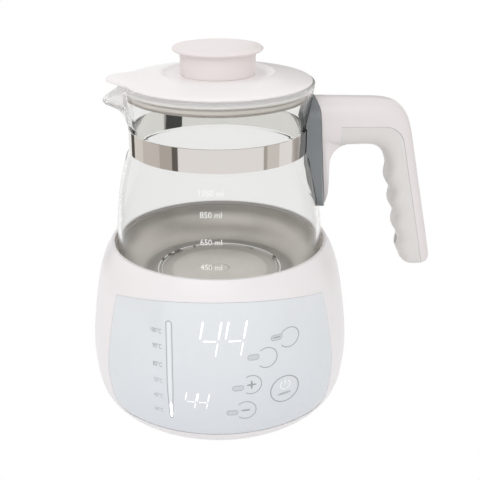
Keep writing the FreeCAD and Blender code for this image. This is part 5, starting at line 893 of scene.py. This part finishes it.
# The keel's lower edge seen from the side, half its width at the root, its top inside the cover.
KEEL_SIDE = ((-0.0598, 0.2034), (-0.0592, 0.2024), (-0.0583, 0.2013), (-0.0556, 0.2003),
             (-0.0528, 0.1996), (-0.0504, 0.1996), (-0.0480, 0.1996), (-0.0470, 0.2015),
             (-0.0460, 0.2034))
KEEL_ROOT_X = -0.0450
KEEL_ROOT_HALF = 0.0090
KEEL_TOP_Z = 0.2035
KEEL_LEAST_DEPTH = 0.0001
KEEL_BURIED = 0.0004
KEEL_END_INSET = 0.00001


def greater(a, b, blend):
    """The greater of two values, with a rounded change from one to the other."""
    return (a + b + np.sqrt((a - b) ** 2 + blend ** 2)) / 2


def lid_reach(angle):
    """The lid's outline: a circle, and two straight sides that close on the beak's blunt tip."""
    off = np.minimum(np.abs(np.angle(np.exp(1j * (angle - np.pi)))), 1.2)
    slope = (BEAK_BACK_HALF - BEAK_TIP_HALF) / BEAK_BACK
    sides = (BEAK_TIP_HALF + slope * BEAK_REACH) / (np.sin(off) + slope * np.cos(off))
    wedge = -greater(-sides, -BEAK_REACH / np.cos(off), BEAK_TIP_BLEND)
    return np.where(off < 1.0, greater(wedge, LID_RADIUS, BEAK_SIDE_BLEND), LID_RADIUS)


def lid_height(x, y):
    """The lid's top: the turned dome, and the beak's low ridge, which is level on its back, sinks
    a little at its tip and falls to each side like half an ellipse, blended into each other. What
    the blend adds to the greater of the two is taken off again as they part."""
    radii, heights = np.array(LID_TOP).T
    dome = np.interp(np.hypot(x, y), radii, heights)
    back = np.clip((x + BEAK_REACH) / BEAK_BACK, 0, 1)
    half = BEAK_TIP_HALF + (BEAK_BACK_HALF - BEAK_TIP_HALF) * back + RIDGE_OVERLAP
    crest = RIDGE_TOP_Z - RIDGE_BACK_FALL * back ** 2 - RIDGE_TIP_FALL * (1 - back) ** 10
    arch = np.sqrt(np.clip(1 - (y / half) ** 2, 0, 1))
    fade = np.clip((RIDGE_END_X - x) / RIDGE_FADE, 0, 1)
    fade = fade ** 2 * (3 - 2 * fade)
    ridge = RIDGE_LOW_Z + (crest - RIDGE_LOW_Z) * arch * fade
    apart = np.maximum(np.abs(dome - ridge), RIDGE_BLEND / 2)
    return greater(dome, ridge, RIDGE_BLEND) - RIDGE_BLEND ** 2 / (4 * apart)


def lid_shell(turns=320, rows=64):
    """The lid's closed skin: the top from its middle to the outline with a rounded edge, the flat
    rim below, and the hollow underside back to the middle. Its columns crowd together towards
    the beak."""
    even = np.linspace(0, 2 * np.pi, turns, endpoint=False)
    angle = even + LID_CROWDING * np.sin(even)
    reach = lid_reach(angle)
    loops = []
    for share in np.linspace(0, 1, rows + 1)[1:] ** 0.8:
        r = reach * share
        top = lid_height(r * np.cos(angle), r * np.sin(angle))
        inward = np.clip((reach - r) / LID_ROUNDING, 0, 1)
        z = LID_EDGE_Z + (np.maximum(top, LID_EDGE_Z) - LID_EDGE_Z) * np.sqrt(1 - (1 - inward) ** 2)
        loops.append((r, z))
    loops.append((reach, np.full(turns, LID_BOTTOM_Z + LID_CHAMFER)))
    loops.append((reach - LID_CHAMFER, np.full(turns, LID_BOTTOM_Z)))
    loops += level_rings(LID_UNDER, turns)
    return closed_skin(loops, angle, LID_TOP[0][1], LID_UNDER[-1][1])


def lid_keel(rows=20, around=24):
    """The keel under the beak: upright slices along X, each a half oval that hangs from the lid
    and reaches a little way up into it."""
    side_x, side_z = np.array(KEEL_SIDE).T
    x = np.linspace(side_x[0] + KEEL_END_INSET, side_x[-1] - KEEL_END_INSET, rows)[:, None]
    depth = np.maximum(KEEL_TOP_Z - np.interp(x, side_x, side_z), KEEL_LEAST_DEPTH)
    spread = (x + BEAK_REACH) / (KEEL_ROOT_X + BEAK_REACH)
    half = BEAK_TIP_HALF + (KEEL_ROOT_HALF - BEAK_TIP_HALF) * spread
    turn = np.linspace(0, 2 * np.pi, around, endpoint=False)[None, :]
    y = half * np.sign(np.cos(turn)) * np.abs(np.cos(turn)) ** 0.5
    z = KEEL_TOP_Z + np.where(np.sin(turn) < 0, depth, KEEL_BURIED) * np.sin(turn)
    points = np.stack([x + 0 * y, y, z], -1).reshape(-1, 3)
    faces = [list(f)[::-1] for f in grid_faces(rows, around, close_columns=True)]
    faces.append(list(range(around))[::-1])
    faces.append([(rows - 1) * around + i for i in range(around)])
    return points, faces


lid_plastic = moulded_plastic("abs_white_lid", "#F5F1F1", "#F1EDED", 0.30)
lid_points, lid_faces = joined([lid_shell(), lid_keel()])
lid_top = piece("lid_shell", lid_points, lid_faces, lid_plastic, "lid", "lid_white")
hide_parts("lid_cover")
finish_node("lid_knob", moulded_plastic("abs_white_knob", "#EDE5E4", "#E6DEDC", 0.32))
finish_node("lid_plug", moulded_plastic("polypropylene_natural", "#D9D4CE", "#D2CCC5", 0.4))


# Seals. The lid's is a sleeve of grey silicone round the plug, with two soft lips, its colour
# banded by painted shade. A plain ring of the same silicone is squeezed between the dish's flange
# and the housing.

DUST_MM = 6.0
DUST_DEPTH = 0.00003
SILICONE_IOR = 1.43
# Heights on the lid's seal and its colour there, from the bottom up: painted shade, darkest
# under the lid's edge, in darker bands between paler ones.
SEAL_SHADE_STRIPES = ((0.1944, "#C9C4BE"), (0.1953, "#A39C95"), (0.1962, "#E0DBD6"),
                (0.1974, "#DAD5D0"), (0.1979, "#A8A19A"), (0.1990, "#D6D1CB"),
                (0.2000, "#E2DED9"), (0.2006, "#ADA7A1"), (0.2014, "#8F8A85"))


def rubbery(name, colour, shade, roughness):
    """Silicone or rubber: matt, slightly dusty, with a soft sheen at grazing angles."""
    material, tree, shader = new_material(name)
    place = add(tree, "ShaderNodeTexCoord", {})
    dust = add(tree, "ShaderNodeTexNoise", {"Scale": 1000 / DUST_MM, "Detail": 4.0},
               [("Vector", place.outputs["Object"])])
    tint = add(tree, "ShaderNodeValToRGB", {}, [("Fac", dust.outputs["Fac"])])
    tint.color_ramp.elements[0].color = linear(shade)
    tint.color_ramp.elements[1].color = linear(colour)
    tree.links.new(tint.outputs["Color"], shader.inputs["Base Color"])
    dents = add(tree, "ShaderNodeBump", {"Strength": 0.2, "Distance": DUST_DEPTH},
                [("Height", dust.outputs["Fac"])])
    tree.links.new(dents.outputs["Normal"], shader.inputs["Normal"])
    shader.inputs["Roughness"].default_value = roughness
    shader.inputs["IOR"].default_value = SILICONE_IOR
    shader.inputs["Sheen Weight"].default_value = 0.15
    return material


def silicone_with_painted_shade():
    """Grey silicone with painted shade: bands of colour up its height, darkest under the lid's
    edge, with darker bands between paler ones on its lips.
    """
    material = rubbery("silicone_painted_shade_bands", "#C8C3BB", "#BFB9B1", 0.5)
    tree = material.node_tree
    shader, place = tree.nodes["Principled BSDF"], tree.nodes["Texture Coordinate"]
    apart = add(tree, "ShaderNodeSeparateXYZ", {}, [("Vector", place.outputs["Object"])])
    low, high = SEAL_SHADE_STRIPES[0][0], SEAL_SHADE_STRIPES[-1][0]
    height = add(tree, "ShaderNodeMapRange", {"From Min": low, "From Max": high},
                 [("Value", apart.outputs["Z"])])
    tint = add(tree, "ShaderNodeValToRGB", {}, [("Fac", height.outputs["Result"])])
    ramp = tint.color_ramp.elements
    ramp[0].color = linear(SEAL_SHADE_STRIPES[0][1])
    ramp[1].color = linear(SEAL_SHADE_STRIPES[-1][1])
    for z, colour in SEAL_SHADE_STRIPES[1:-1]:
        ramp.new((z - low) / (high - low)).color = linear(colour)
    tree.links.new(tint.outputs["Color"], shader.inputs["Base Color"])
    return material


finish_node("lid_seal", silicone_with_painted_shade())
finish_node("dish_seal", rubbery("silicone_grey", "#C8C3BB", "#BFB9B1", 0.5))


# Underside and rear. The cover is ABS moulded with a coarse texture, and a groove in it holds the
# rubber ring foot. A rubber gland lines the cord's way in, behind a nylon clamp.

COVER_GRAIN_MM = 0.9

finish_node("bottom_cover", moulded_plastic("abs_white_textured", "#E4E0DE", "#DEDAD7", 0.5,
                                            grain_mm=COVER_GRAIN_MM, strength=0.4))
finish_node("ring_foot", rubbery("rubber_grey", "#8C8F92", "#7F8285", 0.65))
finish_node("cord_gland", rubbery("rubber_pale", "#D8D4D1", "#CFCBC8", 0.5))
finish_node("cord_clamp", moulded_plastic("nylon_natural", "#CFCBC5", "#C8C3BC", 0.4))


# Hidden metal. Zinc-plated steel screws and brackets, the milled aluminium spreader, the heater's
# blasted steel sheath and the drawn spring wire.

METAL_GRAIN_DEPTH = 0.00003


def plain_metal(name, colour, roughness, grain_mm, strength):
    """Plated, milled or drawn metal with an even fine grain."""
    material, tree, shader = new_material(name)
    place = add(tree, "ShaderNodeTexCoord", {})
    grain = add(tree, "ShaderNodeTexNoise", {"Scale": 1000 / grain_mm, "Detail": 3.0},
                [("Vector", place.outputs["Object"])])
    gloss = add(tree, "ShaderNodeMapRange", {"To Min": roughness * 0.8, "To Max": roughness * 1.3},
                [("Value", grain.outputs["Fac"])])
    tree.links.new(gloss.outputs["Result"], shader.inputs["Roughness"])
    dents = add(tree, "ShaderNodeBump", {"Strength": strength, "Distance": METAL_GRAIN_DEPTH},
                [("Height", grain.outputs["Fac"])])
    tree.links.new(dents.outputs["Normal"], shader.inputs["Normal"])
    shader.inputs["Base Color"].default_value = linear(colour)
    shader.inputs["Metallic"].default_value = 1.0
    return material


zinc = plain_metal("steel_zinc_plated", "#C2C4C8", 0.3, 0.8, 0.1)
for node in ("cover_screws", "carrier_screws", "display_board_screws", "power_board_screws",
             "cord_clamp_screws", "clamp_screw", "mount_screws", "handle_screws", "knob_screw",
             "dish_carrier", "band_nut"):
    finish_node(node, zinc)
finish_node("heat_spreader", plain_metal("aluminium_milled", "#C9CBCD", 0.35, 0.5, 0.2))
finish_node("heating_element", plain_metal("steel_bead_blasted", "#8E8983", 0.5, 0.3, 0.4))
finish_node("probe_spring", plain_metal("spring_wire", "#A2A4A8", 0.25, 0.4, 0.1))


# Electronics inside the base. Two green fibreglass boards carry moulded components, light boxes
# and foam pads; the cut-out and the probe's holder sit under the spreader. All are seen only with
# the base opened.

# Each node, its material's name, its colour and shade, and its roughness.
INNER_PARTS = (
    ("display_board", "fibreglass_green", "#1F5B3D", "#1B5036", 0.35),
    ("power_board", "fibreglass_green_power", "#1F5B3D", "#1B5036", 0.35),
    ("main_display", "display_housing", "#F2F4F6", "#E9EBEE", 0.3),
    ("small_display", "display_housing_small", "#F2F4F6", "#E9EBEE", 0.3),
    ("level_light_guide", "acrylic_frosted", "#E9EEF0", "#E0E5E8", 0.25),
    ("touch_pads", "foam_conductive", "#4B4C50", "#404145", 0.8),
    ("transformer", "steel_laminations_varnished", "#5C5650", "#4F4A45", 0.5),
    ("relay", "relay_case_blue", "#2D60A8", "#285698", 0.35),
    ("terminal_block", "polyamide_green", "#3D8B50", "#357C47", 0.45),
    ("buzzer", "buzzer_case_black", "#232325", "#1C1C1E", 0.45),
    ("thermal_cutout", "phenolic_black", "#2B2A2B", "#222122", 0.5),
    ("probe_holder", "polyamide_natural", "#D8D3C9", "#CFC9BE", 0.45),
)
for node, finish, colour, shade, roughness in INNER_PARTS:
    finish_node(node, moulded_plastic(finish, colour, shade, roughness))


# Studio: a white floor that keeps a faint shadow, even white surroundings, one large soft lamp,
# a small one that shines into the dish, and grey cards that only glossy surfaces reflect.

FLOOR_SIZE = 8.0
FLOOR_WHITE = 0.98
FLOOR_OWN_LIGHT = 0.99
SURROUND_LEVEL = 0.84
KEY_POWER = 2.6
KEY_SIZE = (0.9, 0.6)
KEY_PLACE = (-0.2, -0.8, 0.9)
KEY_TURN = (math.radians(45), 0, math.radians(-14))
BOWL_POWER = 0.10
BOWL_PLACE = (0, 0, 0.185)
BOWL_CONE = math.radians(84)
BOWL_SOFT_EDGE = 0.7
BOWL_LAMP_RADIUS = 0.03
CARD_RADIUS = 0.45
CARD_HEIGHT = 0.40
# The cards' two ends as angles in degrees from the front towards the handle, and their greys.
CARDS = (
    ("card_left_edge", -49.0, -57.0, "#6E6B66"),
    ("card_left_near", -57.0, -75.0, "#C4BFB8"),
    ("card_left", -75.0, -105.0, "#DAD6D0"),
    ("card_left_far", -105.0, -127.0, "#EDEAE5"),
    ("card_left_far_edge", -127.0, -139.0, "#5E5B56"),
    ("card_right_edge", 55.0, 60.0, "#BDB9B3"),
    ("card_right_near", 60.0, 78.0, "#E4E1DC"),
    ("card_right_far", 108.0, 128.0, "#C2BEB8"),
    ("card_right_far_edge", 148.0, 175.0, "#7C7C77"),
)
CAMERA_PLACE = (0.0, -0.5077, 0.3118)
CAMERA_TURN = (math.radians(67.80), 0.0, math.radians(-1.43))
CAMERA_LENS_MM = 67.03
CAMERA_SENSOR_MM = 36.0


def seen_directly(tree):
    """1 for rays from the camera, off a gloss or through glass, and 0 for those that light things:
    the greatest of the light path's three answers."""
    path = add(tree, "ShaderNodeLightPath", {})
    first = add(tree, "ShaderNodeMath", {"operation": "MAXIMUM"},
                [(0, path.outputs["Is Camera Ray"]), (1, path.outputs["Is Glossy Ray"])])
    both = add(tree, "ShaderNodeMath", {"operation": "MAXIMUM"},
               [(0, first.outputs[0]), (1, path.outputs["Is Transmission Ray"])])
    return both.outputs[0]


world = bpy.data.worlds.new("studio")
world.use_nodes = True
world_tree = world.node_tree
world_tree.nodes.clear()
even = add(world_tree, "ShaderNodeBackground", {"Color": linear("#FFFFFF"), "Strength": SURROUND_LEVEL})
white = add(world_tree, "ShaderNodeBackground", {"Color": linear("#FFFFFF"), "Strength": 1.0})
mixed = add(world_tree, "ShaderNodeMixShader", {},
            [(0, seen_directly(world_tree)), (1, even.outputs[0]), (2, white.outputs[0])])
add(world_tree, "ShaderNodeOutputWorld", {}, [("Surface", mixed.outputs[0])])
bpy.context.scene.world = world

half = FLOOR_SIZE / 2
floor_mesh = bpy.data.meshes.new("floor")
floor_mesh.from_pydata([(-half, -half, 0), (half, -half, 0), (half, half, 0), (-half, half, 0)],
                       [], [(0, 1, 2, 3)])
floor = placed("floor", floor_mesh)
floor_paint = bpy.data.materials.new("floor_white")
floor_paint.use_nodes = True
floor_tree = floor_paint.node_tree
floor_tree.nodes.clear()
matt = add(floor_tree, "ShaderNodeBsdfDiffuse", {"Color": [FLOOR_WHITE] * 3 + [1.0]})
bright = add(floor_tree, "ShaderNodeEmission", {"Strength": 1.0})
share = add(floor_tree, "ShaderNodeMath", {"operation": "MULTIPLY", 1: FLOOR_OWN_LIGHT},
            [(0, seen_directly(floor_tree))])
floor_mix = add(floor_tree, "ShaderNodeMixShader", {},
                [(0, share.outputs[0]), (1, matt.outputs[0]), (2, bright.outputs[0])])
add(floor_tree, "ShaderNodeOutputMaterial", {}, [("Surface", floor_mix.outputs[0])])
floor_mesh.materials.append(floor_paint)


def card(name, start, end, colour, columns=16):
    """An upright card on the floor, bent round the axis between two angles, that only glossy rays
    see. It gives its own even light."""
    turn = np.radians(np.linspace(start, end, columns))
    row = CARD_RADIUS * np.stack([np.sin(turn), -np.cos(turn), 0 * turn], -1)
    points = np.concatenate([row, row + [0, 0, CARD_HEIGHT]])
    mesh = bpy.data.meshes.new(name)
    mesh.from_pydata(points.tolist(), [], grid_faces(2, columns).tolist())
    paint = bpy.data.materials.new(name + "_paint")
    paint.use_nodes = True
    paint.node_tree.nodes.clear()
    plain = add(paint.node_tree, "ShaderNodeEmission", {"Color": linear(colour), "Strength": 1.0})
    add(paint.node_tree, "ShaderNodeOutputMaterial", {}, [("Surface", plain.outputs[0])])
    mesh.materials.append(paint)
    obj = placed(name, mesh)
    obj.visible_camera = False
    obj.visible_diffuse = False
    obj.visible_transmission = False
    obj.visible_shadow = False


for settings in CARDS:
    card(*settings)

lamp = bpy.data.lights.new("key", "AREA")
lamp.shape = "RECTANGLE"
lamp.size, lamp.size_y = KEY_SIZE
lamp.energy = KEY_POWER
key = placed("key", lamp)
key.location = KEY_PLACE
key.rotation_euler = KEY_TURN

bowl_lamp = bpy.data.lights.new("bowl", "SPOT")
bowl_lamp.energy = BOWL_POWER
bowl_lamp.spot_size = BOWL_CONE
bowl_lamp.spot_blend = BOWL_SOFT_EDGE
bowl_lamp.shadow_soft_size = BOWL_LAMP_RADIUS
bowl = placed("bowl", bowl_lamp)
bowl.location = BOWL_PLACE
bowl.visible_glossy = False
bowl.visible_transmission = False

camera_data = bpy.data.cameras.new("camera")
camera_data.lens = CAMERA_LENS_MM
camera_data.sensor_width = CAMERA_SENSOR_MM
camera_data.clip_start = 0.01
camera_data.clip_end = 20.0
camera = placed("camera", camera_data)
camera.location = CAMERA_PLACE
camera.rotation_euler = CAMERA_TURN
bpy.context.scene.camera = camera
bpy.context.scene.view_settings.view_transform = "Standard"
